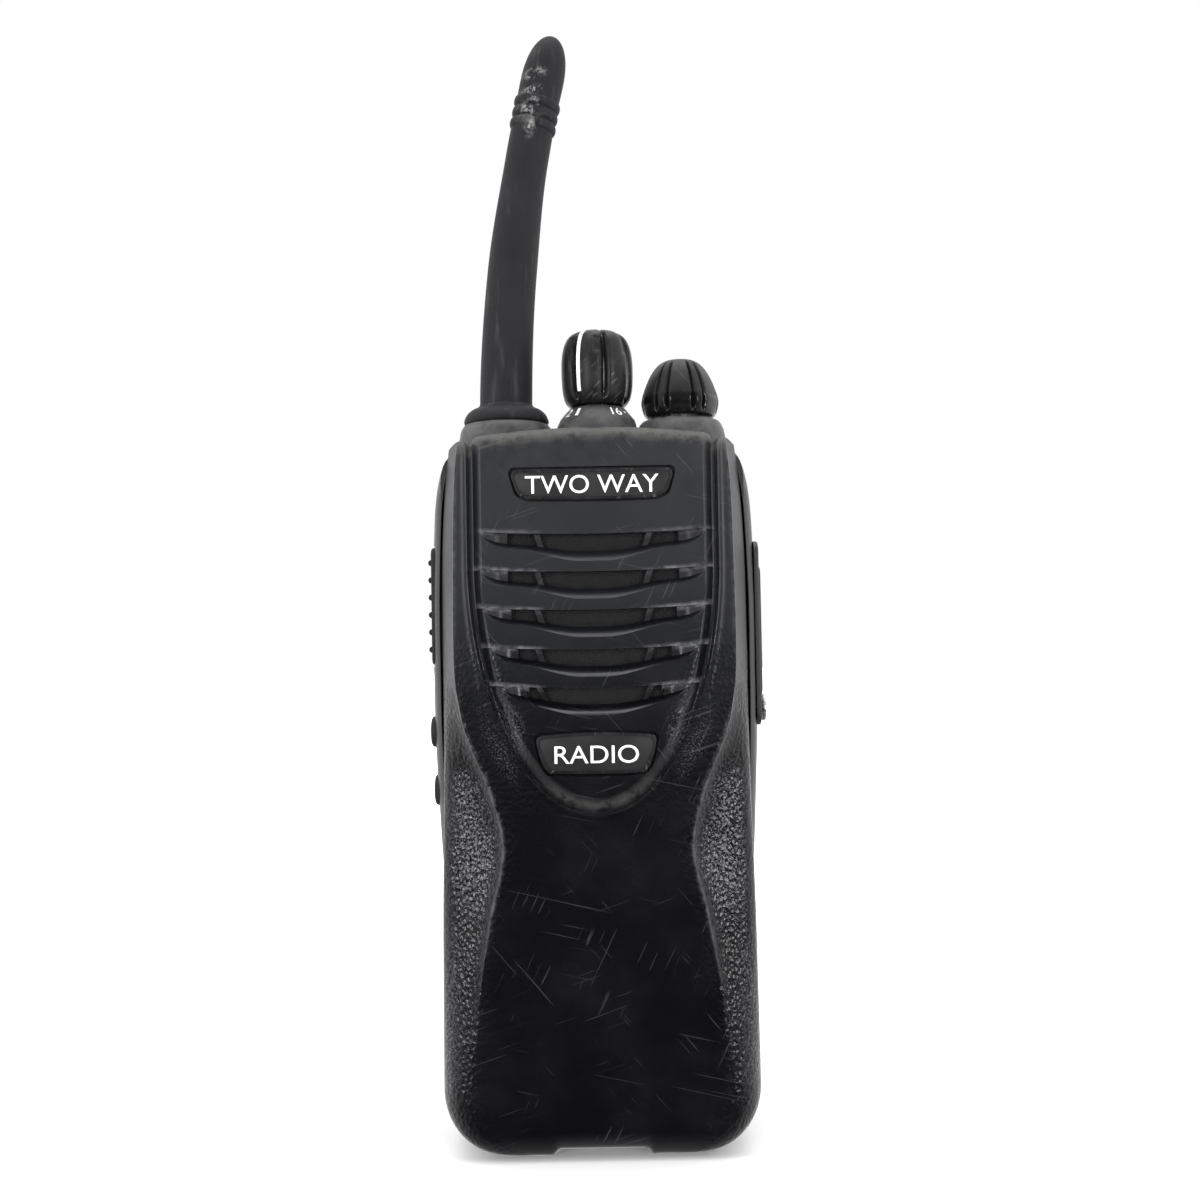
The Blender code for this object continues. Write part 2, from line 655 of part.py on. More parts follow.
def channel_control():
    base = [(5.0, 0), (7.4, 0), (7.4, 4.1), (6.7, 6.1), (4.9, 8.3), (4.5, 8.3), (5.0, 7.0)]
    dial = turned("channel_dial", base, (CHANNEL_X, CONTROL_Y, TOP_Z + GAP), case_black(), closed=True)
    cut(dial, bar("dial_bite", 8.0, 9.0, (VOLUME_X, CONTROL_Y, TOP_Z - 1), case_black(), segments=32))
    profile = [(4.6, 125.9, 0.2), (5.7, 127.2, 0.7), (6.35, 129.8, 1), (6.35, 133.8, 1)]
    profile += [(5.9, 136.6, 1), (4.8, 138.5, 1), (2.6, 139.3, 1)]
    cap = knob("channel_knob", CHANNEL_X, profile, 133.5, 7, 0.13, 42)
    stem = shaft("channel_shaft", CHANNEL_X, 133.2)
    switch_body("channel_switch", CHANNEL_X)
    pivot("channel_axis", (CHANNEL_X, CONTROL_Y, TOP_Z), [cap, stem])


def volume_control():
    collar = [(5.0, 0), (7.7, 0), (7.7, 3.2), (7.4, 4.7), (6.8, 5.6), (5.0, 6.0)]
    turned("volume_collar", collar, (VOLUME_X, CONTROL_Y, TOP_Z + GAP), case_black(), closed=True)
    profile = [(6.0, 123.7, 0.4), (6.7, 124.6, 0.6), (6.55, 127.6, 0.8), (5.8, 130.6, 1)]
    profile += [(4.8, 132.9, 1), (3.4, 133.8, 1), (2.0, 134.0, 1)]
    cap = knob("volume_knob", VOLUME_X, profile, 131.0, 10, 0.10, 40)
    stem = shaft("volume_shaft", VOLUME_X, 130.7)
    switch_body("volume_switch", VOLUME_X)
    pivot("volume_axis", (VOLUME_X, CONTROL_Y, TOP_Z), [cap, stem])


def rod_bend(z):
    """Sideways set of the antenna's middle line at a height."""
    rise = max(0.0, z - 127.0)
    return 0.018 * rise + 0.0019 * rise**2


def rod_radius(z):
    """Outer radius of the rod: a slow taper, three rings near the tip, and a rounded end."""
    taper = ROD_ROOT_R - 0.95 * smooth((z - 127) / 55)
    rings = sum(0.38 * math.exp(-(((z - c) / 0.55) ** 2)) for c in ROD_RINGS)
    past = (z - (ROD_TIP_Z - ROD_CAP)) / ROD_CAP
    return (taper + rings) * math.sqrt(max(0.0, 1 - max(0.0, past) ** 2))


def rod_ring(z, radius, count=16):
    """A ring of the rod, square to its bent middle line."""
    lean = math.atan(rod_bend(z + 0.05) / 0.05 - rod_bend(z) / 0.05)
    points = []
    for i in range(count):
        a = math.tau * i / count
        u, v = radius * math.cos(a), radius * math.sin(a)
        points.append((rod_bend(z) + u * math.cos(lean), v, z - u * math.sin(lean)))
    return points


def antenna():
    collar = [(4.8, 0), (8.2, 0), (8.2, 3.2), (7.9, 4.6), (7.3, 5.5), (7.0, 5.5), (7.0, 4.7), (4.8, 4.7)]
    turned("antenna_collar", collar, (ANTENNA_X, CONTROL_Y, TOP_Z + GAP), case_black(), closed=True)
    jack = [(0, 0), (4.0, 0), (4.0, 5.3), (5.8, 5.3), (5.8, 7.0), (4.0, 7.0), (4.0, 10.2)]
    jack += [(1.6, 10.2), (1.6, 2.0), (0, 2.0)]
    turned("antenna_jack", jack, (ANTENNA_X, CONTROL_Y, 108.0), brass(), segments=24)
    ring = [(5.0, 0), (6.7, 0), (6.7, 0.5), (5.0, 0.5)]
    seal = turned("antenna_seal", ring, (ANTENNA_X, CONTROL_Y, 122.3), key_rubber(), closed=True)
    shape = [(0, 0), (1.2, 0), (1.2, 7.9), (3.9, 7.9), (3.9, 11.0), (2.4, 12.0), (2.4, 17.0), (0, 17.0)]
    stud = turned("antenna_stud", shape, (ANTENNA_X, CONTROL_Y, 111.0), brass(), segments=20)
    pieces = [seal, stud, antenna_rod(), antenna_coil()]
    pivot("antenna_axis", (ANTENNA_X, CONTROL_Y, TOP_Z), pieces)


def antenna_rod():
    """The rubber sleeve: up inside its hollow foot, then down from the root to the tip outside."""
    bore = (185, 176, 166, 156, 146, 136, 129)
    inside = [rod_ring(z, ROD_HOLLOW_R - 0.6 * smooth((z - 150) / 30)) for z in bore]
    inside += [rod_ring(ROD_Z, ROD_HOLLOW_R)]
    outside = [rod_ring(z, r) for z, r in ((ROD_Z, 7.3), (124.4, 6.9), (125.5, 5.9), (126.2, ROD_ROOT_R))]
    heights = [127.5, 131, 137, 143, 149, 155, 161, 167, 172.5, 175.1, 176.0, 177.1, 178.2, 179.3, 180.4]
    heights += [181.6, 184.0, 186.4, 188.2, 189.6, 190.3]
    outside += [rod_ring(z, rod_radius(z)) for z in heights]
    return rings_object("antenna_rod", inside + outside, antenna_rubber(), (ANTENNA_X, CONTROL_Y, 0))


def wire(name, points, radius, at, material):
    """A bent round wire through points, in millimetres from the place given."""
    curve = bpy.data.curves.new(name, "CURVE")
    curve.dimensions = "3D"
    curve.bevel_depth = radius * MM
    curve.bevel_resolution = 1
    curve.use_fill_caps = True
    line = curve.splines.new("POLY")
    line.points.add(len(points) - 1)
    for spot, point in zip(line.points, points):
        spot.co = (*(Vector(point) * MM), 1)
    curve.materials.append(material)
    obj = bpy.data.objects.new(name, curve)
    obj.location = Vector(at) * MM
    bpy.context.scene.collection.objects.link(obj)
    return obj


def antenna_coil():
    """The radiating coil inside the rod, wound round its bent middle line."""
    turns, per_turn, low, high, radius = 8, 9, 130.0, 182.0, 1.35
    points = []
    for i in range(turns * per_turn + 1):
        z = low + (high - low) * i / (turns * per_turn)
        a = math.tau * i / per_turn
        points.append((rod_bend(z) + radius * math.cos(a), radius * math.sin(a), z))
    return wire("antenna_coil", points, 0.3, (ANTENNA_X, CONTROL_Y, 0), brass())


def push_pads():
    """The push-to-talk key and the two round side keys, each on the axis it is pressed along."""
    half_y, half_z = SIDE_DEPTH / 2 - 0.15, PTT_HEIGHT / 2
    face = -27.7
    low = (face, SIDE_Y - half_y, PTT_Z - half_z)
    high = (-24.9, SIDE_Y + half_y, PTT_Z + half_z)
    pad = box("ptt_button", low, high, key_rubber(), 0.6)
    for k in range(PTT_RIBS):
        z = PTT_Z + (k - (PTT_RIBS - 1) / 2) * PTT_RIB_PITCH
        low, high = (face - 0.5, SIDE_Y - 2.4, z - 0.5), (face + 0.5, SIDE_Y + 2.4, z + 0.5)
        join(pad, box(f"ptt_rib_{k}", low, high, key_rubber(), 0.2))
    pivot("ptt_slide", (face, SIDE_Y, PTT_Z), [pad])
    root = -24.6
    for name, (z, face) in KEY_FACES.items():
        tall = face - root
        dished = [(0, 0), (2.7, 0), (2.7, tall + 0.9), (2.2, tall + 0.4), (1.2, tall + 0.1), (0, tall)]
        key = turned(name, dished, (root, SIDE_Y, z), key_rubber(), "X", 20)
        pivot(f"{name}_slide", (face, SIDE_Y, z), [key])


def accessory_port():
    low, high = (21.6, SIDE_Y - 2.6, 76.6), (26.7, SIDE_Y + 2.6, 88.2)
    jack = box("accessory_jack", low, high, badge_black(), 0.3)
    for name, z, radius in (("speaker_hole", 79.6, 1.75), ("microphone_hole", 85.4, 1.25)):
        cut(jack, bar(name, radius, 6.0, (22.6, SIDE_Y, z), badge_black(), "X"))
    outline = [(y + SIDE_Y, z) for y, z in rounded(3.2, 70.0, 101.4, 2.2, 3)]
    cover = prism("accessory_cover", outline, "X", COVER_X, COVER_X + 0.8, case_black())
    cut(cover, bar("cover_bore", 1.5, 4.0, (26.0, SIDE_Y, COVER_SCREW_Z), case_black(), "X"))
    head = [(0, 0), (1.0, 0), (1.0, 3.5), (2.3, 3.5), (2.3, 4.0), (2.0, 4.2), (0, 4.2)]
    screw = turned("accessory_screw", head, (24.9, SIDE_Y, COVER_SCREW_Z), bare_metal(), "X", 20)
    low, high = (28.8, SIDE_Y - 3, COVER_SCREW_Z - 0.3), (31, SIDE_Y + 3, COVER_SCREW_Z + 0.3)
    cut(screw, box("screw_slot", low, high, bare_metal()))
    pivot("cover_hinge", (COVER_X + 0.8, SIDE_Y, 101.2), [cover])


def bottom_catches():
    side = [(-12.4, 0.5), (-5.2, 0.5), (-3.8, 0.9), (-3.8, 1.7), (-5.2, 2.4), (-12.4, 2.4)]
    latch = prism("battery_latch", side, "X", -5.6, 5.6, case_black())
    join(latch, box("latch_web", (-4.5, -10.8, 2.0), (4.5, -9.2, 3.0), case_black()))
    pivot("latch_slide", (0, -12.4, 1.4), [latch])
    catch = box("safety_catch", (7.0, -12.4, 0.4), (11.0, -8.6, 1.9), key_rubber(), 0.3)
    pivot("catch_slide", (9.0, -10.5, 1.0), [catch])


def pack_outline(inset=0.0):
    """Outline of the battery pack seen from the front."""
    centre = (BACK_HALF_WIDTH - BACK_CORNER_R, BACK_CORNER_R)
    right = arc(centre, BACK_CORNER_R - inset, -90, 0, 6)
    top = 97.1
    if inset:
        right.append((BACK_HALF_WIDTH - inset, top - inset))
    else:
        right += arc((BACK_HALF_WIDTH - 1.5, top - 1.5), 1.5, 0, 90, 2)
    return mirrored(right)


def battery_pack():
    black = case_black()
    cover = prism("battery_cover", pack_outline(), "Y", -3.6, PACK_BACK_Y, black, bevel=2.6)
    cut(cover, prism("cell_bay", pack_outline(WALL), "Y", -6, PACK_BACK_Y - 1.2, black))
    lid = prism("battery_lid", pack_outline(), "Y", BODY_BACK_Y + GAP, -3.9, black)
    cut(lid, box("latch_pocket", (-6.4, -6, -1), (6.4, -3, 2.9), black))
    pieces = [cover, lid]
    for side, name in ((-1, "minus"), (1, "plus")):
        x = side * CONTACT_X
        cut(lid, box(f"{name}_window", (x - 1.9, -6, 85.4), (x + 1.9, -3, 90.6), black))
        pieces.append(box(f"battery_contact_{name}", (x - 1.5, -4.6, 85.8), (x + 1.5, -4.1, 90.2), brass()))
    sleeve = [(0, 0), (6.6, 0), (7.0, 0.4), (7.0, 41.2), (6.6, 41.6), (2.6, 41.6), (2.6, 42.4), (0, 42.4)]
    for k in range(6):
        place = (CELL_PITCH[0] * (k % 3 - 1), 3.4, 5.0 + CELL_PITCH[1] * (k // 3))
        pieces.append(turned(f"battery_cell_{k + 1}", sleeve, place, cell_sleeve(), segments=16))
    shape = [(0, 0), (1.0, 0), (1.0, 2.9), (2.1, 2.95), (2.1, 3.4), (1.6, 3.9), (0, 4.0)]
    for k, (x, z) in enumerate(CLIP_SCREWS):
        cut(cover, bar(f"clip_hole_{k}", 1.3, 4.0, (x, 9.6, z), black, "Y", 12))
        pieces.append(turned(f"clip_screw_{k + 1}", shape, (x, 10.95, z), bare_metal(), "Y", 16))
    return pieces


def belt_clip():
    """The clip's bracket, pin and spring, which stay with the pack, and the arm that swings on them."""
    black = case_black()
    plate = prism("clip_bracket", rounded(11.0, 70.5, 92.5, 3.0, 3), "Y", PACK_BACK_Y + GAP, 13.6, black)
    ear = [(13.0, 82.5), (17.0, 83.4), *arc(CLIP_PIN, 2.6, -45, 80, 5), (13.0, 90.8)]
    for side in (-1, 1):
        x = side * 10.0
        join(plate, prism(f"clip_ear_{side}", ear, "X", x - 0.8, x + 0.8, black))
        cut(plate, bar(f"ear_hole_{side}", 1.3, 4.0, (x - 2, *CLIP_PIN), black, "X"))
    for k, (x, z) in enumerate(CLIP_SCREWS):
        cut(plate, bar(f"bracket_hole_{k}", 1.35, 4.0, (x, 10.6, z), black, "Y", 12))
    pin = bar("clip_pin", 1.0, 21.2, (-10.6, *CLIP_PIN), bare_metal(), "X")
    pivot("clip_hinge", (0, *CLIP_PIN), [clip_arm(black)])
    return [plate, pin, clip_spring()]


def clip_arm(black):
    outside = [(18.6, 97.6), (19.6, 92.0), (20.1, 84.0), (20.4, 70.0), (20.4, 50.0), (19.0, 43.0)]
    outside.append((14.0, 37.4))
    tip = [(12.7, 37.0), (12.5, 38.4), (17.3, 44.6), (18.6, 51.0), (18.6, 70.0), (18.3, 82.6)]
    knuckle = arc(CLIP_PIN, 2.4, -75, -270, 7)
    arm = prism("clip_arm", outside + tip + knuckle + [(17.0, 97.4)], "X", -8.7, 8.7, black)
    cut(
        arm,
        bar("arm_bore", 1.35, 20.0, (-10, *CLIP_PIN), black, "X"),
        box("spring_bay", (-3.2, 12, 83.6), (3.2, 18.9, 90.2), black),
    )
    return arm


def clip_spring():
    """Torsion spring on the clip's pin."""
    turns, per_turn, radius, pitch = 4, 10, 1.65, 0.9
    points = []
    for i in range(turns * per_turn + 1):
        a = math.tau * i / per_turn
        x = (i / per_turn - turns / 2) * pitch
        points.append((x, radius * math.cos(a), radius * math.sin(a)))
    return wire("clip_spring", points, 0.28, (0, *CLIP_PIN), bare_metal())


def main():
    clear_scene()
    case_front()
    case_rear()
    speaker()
    electronics()
    channel_control()
    volume_control()
    antenna()
    push_pads()
    accessory_port()
    bottom_catches()
    pack = battery_pack()
    clip = belt_clip()
    pivot("pack_hinge", (0, 11.0, 96.6), pack + clip)


main()
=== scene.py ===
"""Looks of the hand-held two way radio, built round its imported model.

Shapes are worked out in millimetres, in the model's own frame: +Z up to the antenna, -Y towards the
speaker side. Each visible piece replaces its plain solid and rides on the same body.
"""

import json
import math

import bmesh
import bpy
from mathutils import Matrix, Vector


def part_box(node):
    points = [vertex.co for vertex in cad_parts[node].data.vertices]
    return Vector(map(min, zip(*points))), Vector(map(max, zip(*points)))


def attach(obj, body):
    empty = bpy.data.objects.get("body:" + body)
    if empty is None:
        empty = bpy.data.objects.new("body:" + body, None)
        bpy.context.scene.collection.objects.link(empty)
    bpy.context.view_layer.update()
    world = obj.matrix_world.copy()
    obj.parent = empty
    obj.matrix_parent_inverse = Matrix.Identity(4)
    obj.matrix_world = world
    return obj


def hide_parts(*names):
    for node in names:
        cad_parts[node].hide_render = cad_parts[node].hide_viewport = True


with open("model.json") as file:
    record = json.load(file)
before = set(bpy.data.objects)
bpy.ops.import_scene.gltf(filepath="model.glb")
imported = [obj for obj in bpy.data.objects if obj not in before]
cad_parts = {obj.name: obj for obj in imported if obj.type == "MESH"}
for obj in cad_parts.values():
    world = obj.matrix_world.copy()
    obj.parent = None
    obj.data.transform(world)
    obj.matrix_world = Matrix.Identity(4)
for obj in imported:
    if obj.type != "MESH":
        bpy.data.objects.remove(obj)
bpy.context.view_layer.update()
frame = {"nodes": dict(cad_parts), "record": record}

MM = 0.001


def box_mm(node):
    """Lowest and highest corner of a node, in millimetres."""
    low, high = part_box(node)
    return Vector(low) / MM, Vector(high) / MM


def middle(node):
    """Middle of a node's box, in millimetres."""
    low, high = box_mm(node)
    return (low + high) / 2


CASE_LOW, CASE_HIGH = box_mm("front_case")
REAR_LOW, REAR_HIGH = box_mm("rear_case")
PANEL_Y = CASE_LOW.y
FACE_Y = PANEL_Y + 1.0
BROW_Z = CASE_HIGH.z + 1.3
PARTING_Y = REAR_LOW.y - 0.1
FRONT_DEPTH = PARTING_Y - FACE_Y
WALL = 1.5
CORNER_R = 11.0

ANTENNA = middle("antenna_collar")
CHANNEL = middle("channel_shaft")
VOLUME = middle("volume_shaft")

# Speaker panel: straight sides above PANEL_Z and half an ellipse below it.
PANEL_HALF_WIDTH = 20.8
PANEL_Z = 97.9
PANEL_DROP = 41.5
PANEL_FOOT_Z = PANEL_Z - PANEL_DROP
ARC_HALF = 12.0  # the grid's rows follow the panel's foot out to here

# Sound slots, top to bottom: height of the upper edge at the middle, and half length.
SLOTS = [(102.4, 18.8), (96.2, 18.8), (89.9, 18.4), (83.4, 17.2), (77.1, 15.6)]
SLOT_SAG = 0.6
SLOT_RIB = (8.5, 9.5)
SLOT_RECESS = 1.7
SLOT_HOLE_END = 4.3  # the holes stop this far short of the recess's ends

# Front case sections, as the solid has them: height, where the face ends, half width at the rear
# edge, and the two handles of the Bezier side between them.
SECTIONS = [
    (0.0, 21.0, 26.3, 2.8, 0.1, 0.0, 1.6),
    (14.0, 20.8, 26.3, 2.6, 0.3, 0.0, 1.5),
    (28.0, 19.6, 26.2, 2.2, 1.6, -0.1, 1.3),
    (39.0, 17.8, 26.1, 2.3, 2.5, -0.2, 1.2),
    (51.0, 15.5, 25.9, 2.4, 2.9, -0.2, 1.2),
    (60.0, 17.5, 25.7, 2.2, 2.7, -0.1, 1.5),
    (70.0, 21.5, 25.6, 1.3, 2.0, 0.3, 2.6),
    (79.0, 23.1, 25.6, 0.8, 1.6, 0.8, 3.2),
    (100.0, 23.1, 25.4, 0.8, 1.6, 0.8, 3.2),
    (111.0, 22.8, 24.8, 0.7, 1.6, 0.7, 3.2),
    (119.0, 22.1, 23.9, 0.6, 1.6, 0.6, 3.2),
]
FACE_END = 23.1  # the widest that the flat face gets


# ---------------------------------------------------------------- small helpers


def smooth(t):
    """0 below 0, 1 above 1, and an even S between them."""
    t = min(1.0, max(0.0, t))
    return t * t * (3 - 2 * t)


def bell(x, centre, width):
    """1 at the centre, fading to nothing about two widths away."""
    return math.exp(-(((x - centre) / width) ** 2))


def mix(a, b, t):
    return a + (b - a) * t


def bezier(a, b, c, d, t):
    """One coordinate of a cubic Bezier from a to d, with handles b and c."""
    s = 1 - t
    return a * s**3 + 3 * b * s**2 * t + 3 * c * s * t**2 + d * t**3


def steps(start, end, count):
    """Evenly spaced values, the start included and the end left out."""
    return [mix(start, end, i / count) for i in range(count)]


def object_of(name, bm, material, body, replaces=(), sharp=35):
    """Turns a bmesh in millimetres into a piece that rides on a body."""
    bmesh.ops.recalc_face_normals(bm, faces=bm.faces)
    bmesh.ops.scale(bm, vec=(MM, MM, MM), verts=bm.verts)
    mesh = bpy.data.meshes.new(name)
    bm.to_mesh(mesh)
    bm.free()
    mesh.materials.append(material)
    mesh.shade_smooth()
    mesh.set_sharp_from_angle(angle=math.radians(sharp))
    obj = bpy.data.objects.new(name, mesh)
    bpy.context.scene.collection.objects.link(obj)
    if body:
        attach(obj, body)
        if replaces:
            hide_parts(*replaces)
            slot_of(replaces[0])
    return obj


def slot_of(node):
    """Name of the material slot that the record gives a node."""
    return next(s["material_slot"] for s in frame["record"]["subparts"] if s["node"] == node)


def bake(obj, sharp=35):
    """Applies an object's modifiers and removes the cutters that they used."""
    helpers = [m.object for m in obj.modifiers if m.type == "BOOLEAN"]
    graph = bpy.context.evaluated_depsgraph_get()
    mesh = bpy.data.meshes.new_from_object(obj.evaluated_get(graph))
    obj.modifiers.clear()
    obj.data = mesh
    mesh.shade_smooth()
    mesh.set_sharp_from_angle(angle=math.radians(sharp))
    for helper in helpers:
        bpy.data.objects.remove(helper)


def boolean(obj, operation, others):
    """Queues Booleans with other objects, which bake() then applies."""
    for other in others:
        modifier = obj.modifiers.new(operation.lower(), "BOOLEAN")
        modifier.operation = operation
        modifier.object = other
        modifier.solver = "EXACT"


def cut(obj, *cutters):
    boolean(obj, "DIFFERENCE", cutters)


def join(obj, *others):
    boolean(obj, "UNION", others)


# ---------------------------------------------------------------- materials


class Nodes:
    """Short way to write the node tree of a new material, or of a new world."""

    def __init__(self, name, world=False):
        self.owner = (bpy.data.worlds if world else bpy.data.materials).new(name)
        self.owner.use_nodes = True
        self.tree = self.owner.node_tree
        self.shader = self.tree.nodes["Background" if world else "Principled BSDF"]
        texture = self.tree.nodes.new("ShaderNodeTexCoord")
        self.coords = texture.outputs["Generated" if world else "Object"]

    def node(self, kind, settings=(), **inputs):
        made = self.tree.nodes.new(kind)
        for key, value in dict(settings).items():
            setattr(made, key, value)
        for key, value in inputs.items():
            self.feed(made, key, value)
        return made

    def feed(self, made, key, value):
        socket = made.inputs[int(key[1:])] if key[0] == "i" and key[1:].isdigit() else made.inputs[key]
        if isinstance(value, bpy.types.NodeSocket):
            self.tree.links.new(value, socket)
        else:
            socket.default_value = value

    def set(self, name, value):
        self.feed(self.shader, name, value)

    def noise(self, scale, detail=2.0, rough=0.5, vector=None, distortion=0.0):
        made = self.node("ShaderNodeTexNoise", Scale=scale, Detail=detail, Roughness=rough)
        made.inputs["Distortion"].default_value = distortion
        self.feed(made, "Vector", vector or self.coords)
        return made.outputs["Fac"]

    def voronoi(self, scale, vector=None):
        made = self.node("ShaderNodeTexVoronoi", Scale=scale)
        self.feed(made, "Vector", vector or self.coords)
        return made.outputs["Distance"]

    def ramp(self, value, low, high, out_low=0.0, out_high=1.0):
        made = self.node("ShaderNodeMapRange", {"interpolation_type": "SMOOTHSTEP"})
        for key, number in (("From Min", low), ("From Max", high), ("To Min", out_low), ("To Max", out_high)):
            made.inputs[key].default_value = number
        self.feed(made, "Value", value)
        return made.outputs["Result"]

    def math(self, operation, a, b=0.0, clamp=False):
        made = self.node("ShaderNodeMath", {"operation": operation, "use_clamp": clamp})
        self.feed(made, "i0", a)
        self.feed(made, "i1", b)
        return made.outputs[0]

    def sum(self, first, *others):
        for other in others:
            first = self.math("ADD", first, other)
        return first

    def blend(self, fac, a, b):
        made = self.node("ShaderNodeMix", {"data_type": "RGBA"})
        self.feed(made, "i0", fac)
        for index, value in (("i6", a), ("i7", b)):
            self.feed(made, index, (*value, 1) if isinstance(value, tuple) else value)
        return made.outputs[2]

    def scaled(self, x, y, z, turn=0.0):
        """Object coordinates turned about Y, then stretched."""
        round_y = self.node("ShaderNodeMapping", Vector=self.coords)
        round_y.inputs["Rotation"].default_value = (0, turn, 0)
        made = self.node("ShaderNodeMapping", Vector=round_y.outputs["Vector"])
        made.inputs["Scale"].default_value = (x, y, z)
        return made.outputs["Vector"]

    def axis(self, index):
        return self.node("ShaderNodeSeparateXYZ", Vector=self.coords).outputs[index]

    def painted(self, name):
        """A value that the mesh carries at each of its points."""
        return self.node("ShaderNodeAttribute", {"attribute_name": name}).outputs["Fac"]

    def bump(self, height, strength, distance, before=None):
        made = self.node("ShaderNodeBump", Strength=strength, Distance=distance)
        self.feed(made, "Height", height)
        if before:
            self.feed(made, "Normal", before)
        return made.outputs["Normal"]

    def scratches(self, turns, length, width, cut=0.75):
        """Sparse fine lines along a few directions, some long and some short."""
        total = 0.0
        for k, turn in enumerate(turns):
            stretched = self.scaled(width, 60.0, length * (1 + 0.45 * k), turn)
            line = self.ramp(self.noise(1.0, 0.0, 0.5, stretched, 0.1), cut, cut + 0.05)
            patches = self.ramp(self.noise(52.0 + 23.0 * k, 2.0), 0.47, 0.62)
            total = self.math("MAXIMUM", total, self.math("MULTIPLY", line, patches))
        return total


def case_plastic():
    """Black moulded plastic: paler satin near the top, partly dust and partly a painted sheen of the overhead
    light, polished by hands lower down, leather grain where the mesh says so, fine scratches, wear on its
    crisp edges with painted highlights there and on the slots' lips, and painted glints on the grain."""
    n = Nodes("case_plastic")
    grain = n.painted("grain")
    wear_and_highlight = n.painted("wear_and_highlight")
    dust_and_sheen = n.painted("dust_and_sheen")
    high = n.ramp(n.axis(2), 0.062, 0.108)
    cloud = n.noise(70.0, 4.0, 0.6)
    scratch = n.scratches((1.35, -1.25, 0.7, -0.45), length=45.0, width=3200.0)
    # Painted glints: pale spots on the grain where the mesh paints them, standing in for highlights.
    sparkle = n.ramp(n.noise(2700.0, 3.0, 0.7), 0.48, 0.68)
    glint_spots = n.math("MULTIPLY", n.math("MULTIPLY", n.painted("painted_glint"), sparkle), 0.85)

    # Paler towards the top: partly dust, partly a painted sheen that stands in for the overhead light's
    # reflection on the upper face.
    base_and_sheen = n.blend(high, (0.0024, 0.0025, 0.0036), (0.0080, 0.0088, 0.0108))
    base_and_sheen = n.blend(n.math("MULTIPLY", n.ramp(cloud, 0.40, 0.80), 0.20), base_and_sheen, (0.016, 0.016, 0.018))
    # Pale worn edges with their painted highlights, and the painted glints, all blend to the same pale grey.
    worn = n.math("MULTIPLY", wear_and_highlight, n.ramp(n.noise(600.0, 3.0, 0.6), 0.30, 0.70), True)
    colour = n.blend(n.math("MAXIMUM", worn, glint_spots), base_and_sheen, (0.17, 0.17, 0.185))
    colour = n.blend(n.math("MULTIPLY", scratch, 0.20), colour, (0.11, 0.11, 0.12))
    # Dust, and the painted sheen on the bank at the panel's foot: both paler and matter.
    dust_and_sheen_mask = n.math("MULTIPLY", dust_and_sheen, n.ramp(n.noise(420.0, 6.0, 0.7), 0.30, 0.62), True)
    colour = n.blend(dust_and_sheen_mask, colour, (0.080, 0.078, 0.072))
    n.set("Base Color", colour)

    rough = n.ramp(high, 0.0, 1.0, 0.20, 0.40)
    rough = n.math("ADD", rough, n.math("MULTIPLY", n.ramp(cloud, 0.3, 0.8), 0.08))
    rough = n.math("ADD", rough, n.math("MULTIPLY", dust_and_sheen_mask, 0.35), True)
    n.set("Roughness", rough)
    n.set("IOR", 1.46)

    cells = n.voronoi(1500.0, n.scaled(1.0, 1.0, 0.8))
    pebble = n.math("MULTIPLY", n.math("ADD", cells, n.math("MULTIPLY", n.noise(1900.0, 3.0), 0.8)), grain)
    normal = n.bump(pebble, 0.6, 0.00017)
    fine = n.math("ADD", n.noise(2600.0, 3.0, 0.6), n.math("MULTIPLY", scratch, -1.5))
    normal = n.bump(fine, 0.10, 0.00004, normal)
    n.set("Normal", normal)
    return n.owner


def satin(name, colour, roughness, grain_scale, grain_height, mottle):
    """A moulded finish with a slight mottle and a fine surface texture."""
    n = Nodes(name)
    cloud = n.noise(160.0, 5.0, 0.65)
    lighter = tuple(min(1.0, c * 1.7 + 0.004) for c in colour)
    n.set("Base Color", n.blend(n.math("MULTIPLY", n.ramp(cloud, 0.35, 0.75), mottle), colour, lighter))
    n.set("Roughness", n.ramp(cloud, 0.3, 0.8, roughness, min(1.0, roughness + 0.14)))
    n.set("IOR", 1.46)
    n.set("Normal", n.bump(n.noise(grain_scale, 3.0, 0.6), 0.25, grain_height))
    return n.owner


CASE = case_plastic()


# ---------------------------------------------------------------- front case


def section_at(z):
    """The front case's section values at a height, by Catmull-Rom between SECTIONS."""
    z = min(max(z, SECTIONS[0][0]), SECTIONS[-1][0])
    last = len(SECTIONS) - 2
    i = min(last, max(k for k in range(len(SECTIONS)) if SECTIONS[k][0] <= z))
    before, a, b, after = (SECTIONS[min(max(i + k, 0), last + 1)] for k in (-1, 0, 1, 2))
    span = b[0] - a[0]
    t = (z - a[0]) / span
    values = []
    for k in range(1, len(a)):
        slope_a = (b[k] - before[k]) / (b[0] - before[0]) * span
        slope_b = (after[k] - a[k]) / (after[0] - a[0]) * span
        values.append(
            a[k] * (2 * t**3 - 3 * t**2 + 1)
            + slope_a * (t**3 - 2 * t**2 + t)
            + b[k] * (3 * t**2 - 2 * t**3)
            + slope_b * (t**3 - t**2)
        )
    return values


def corner_share(z):
    """Share of its full half width that the case keeps beside its round lower corners."""
    full = SECTIONS[0][2]
    below = CORNER_R - min(max(z, 0.0), CORNER_R)
    return (full - CORNER_R + math.sqrt(CORNER_R**2 - below**2)) / full


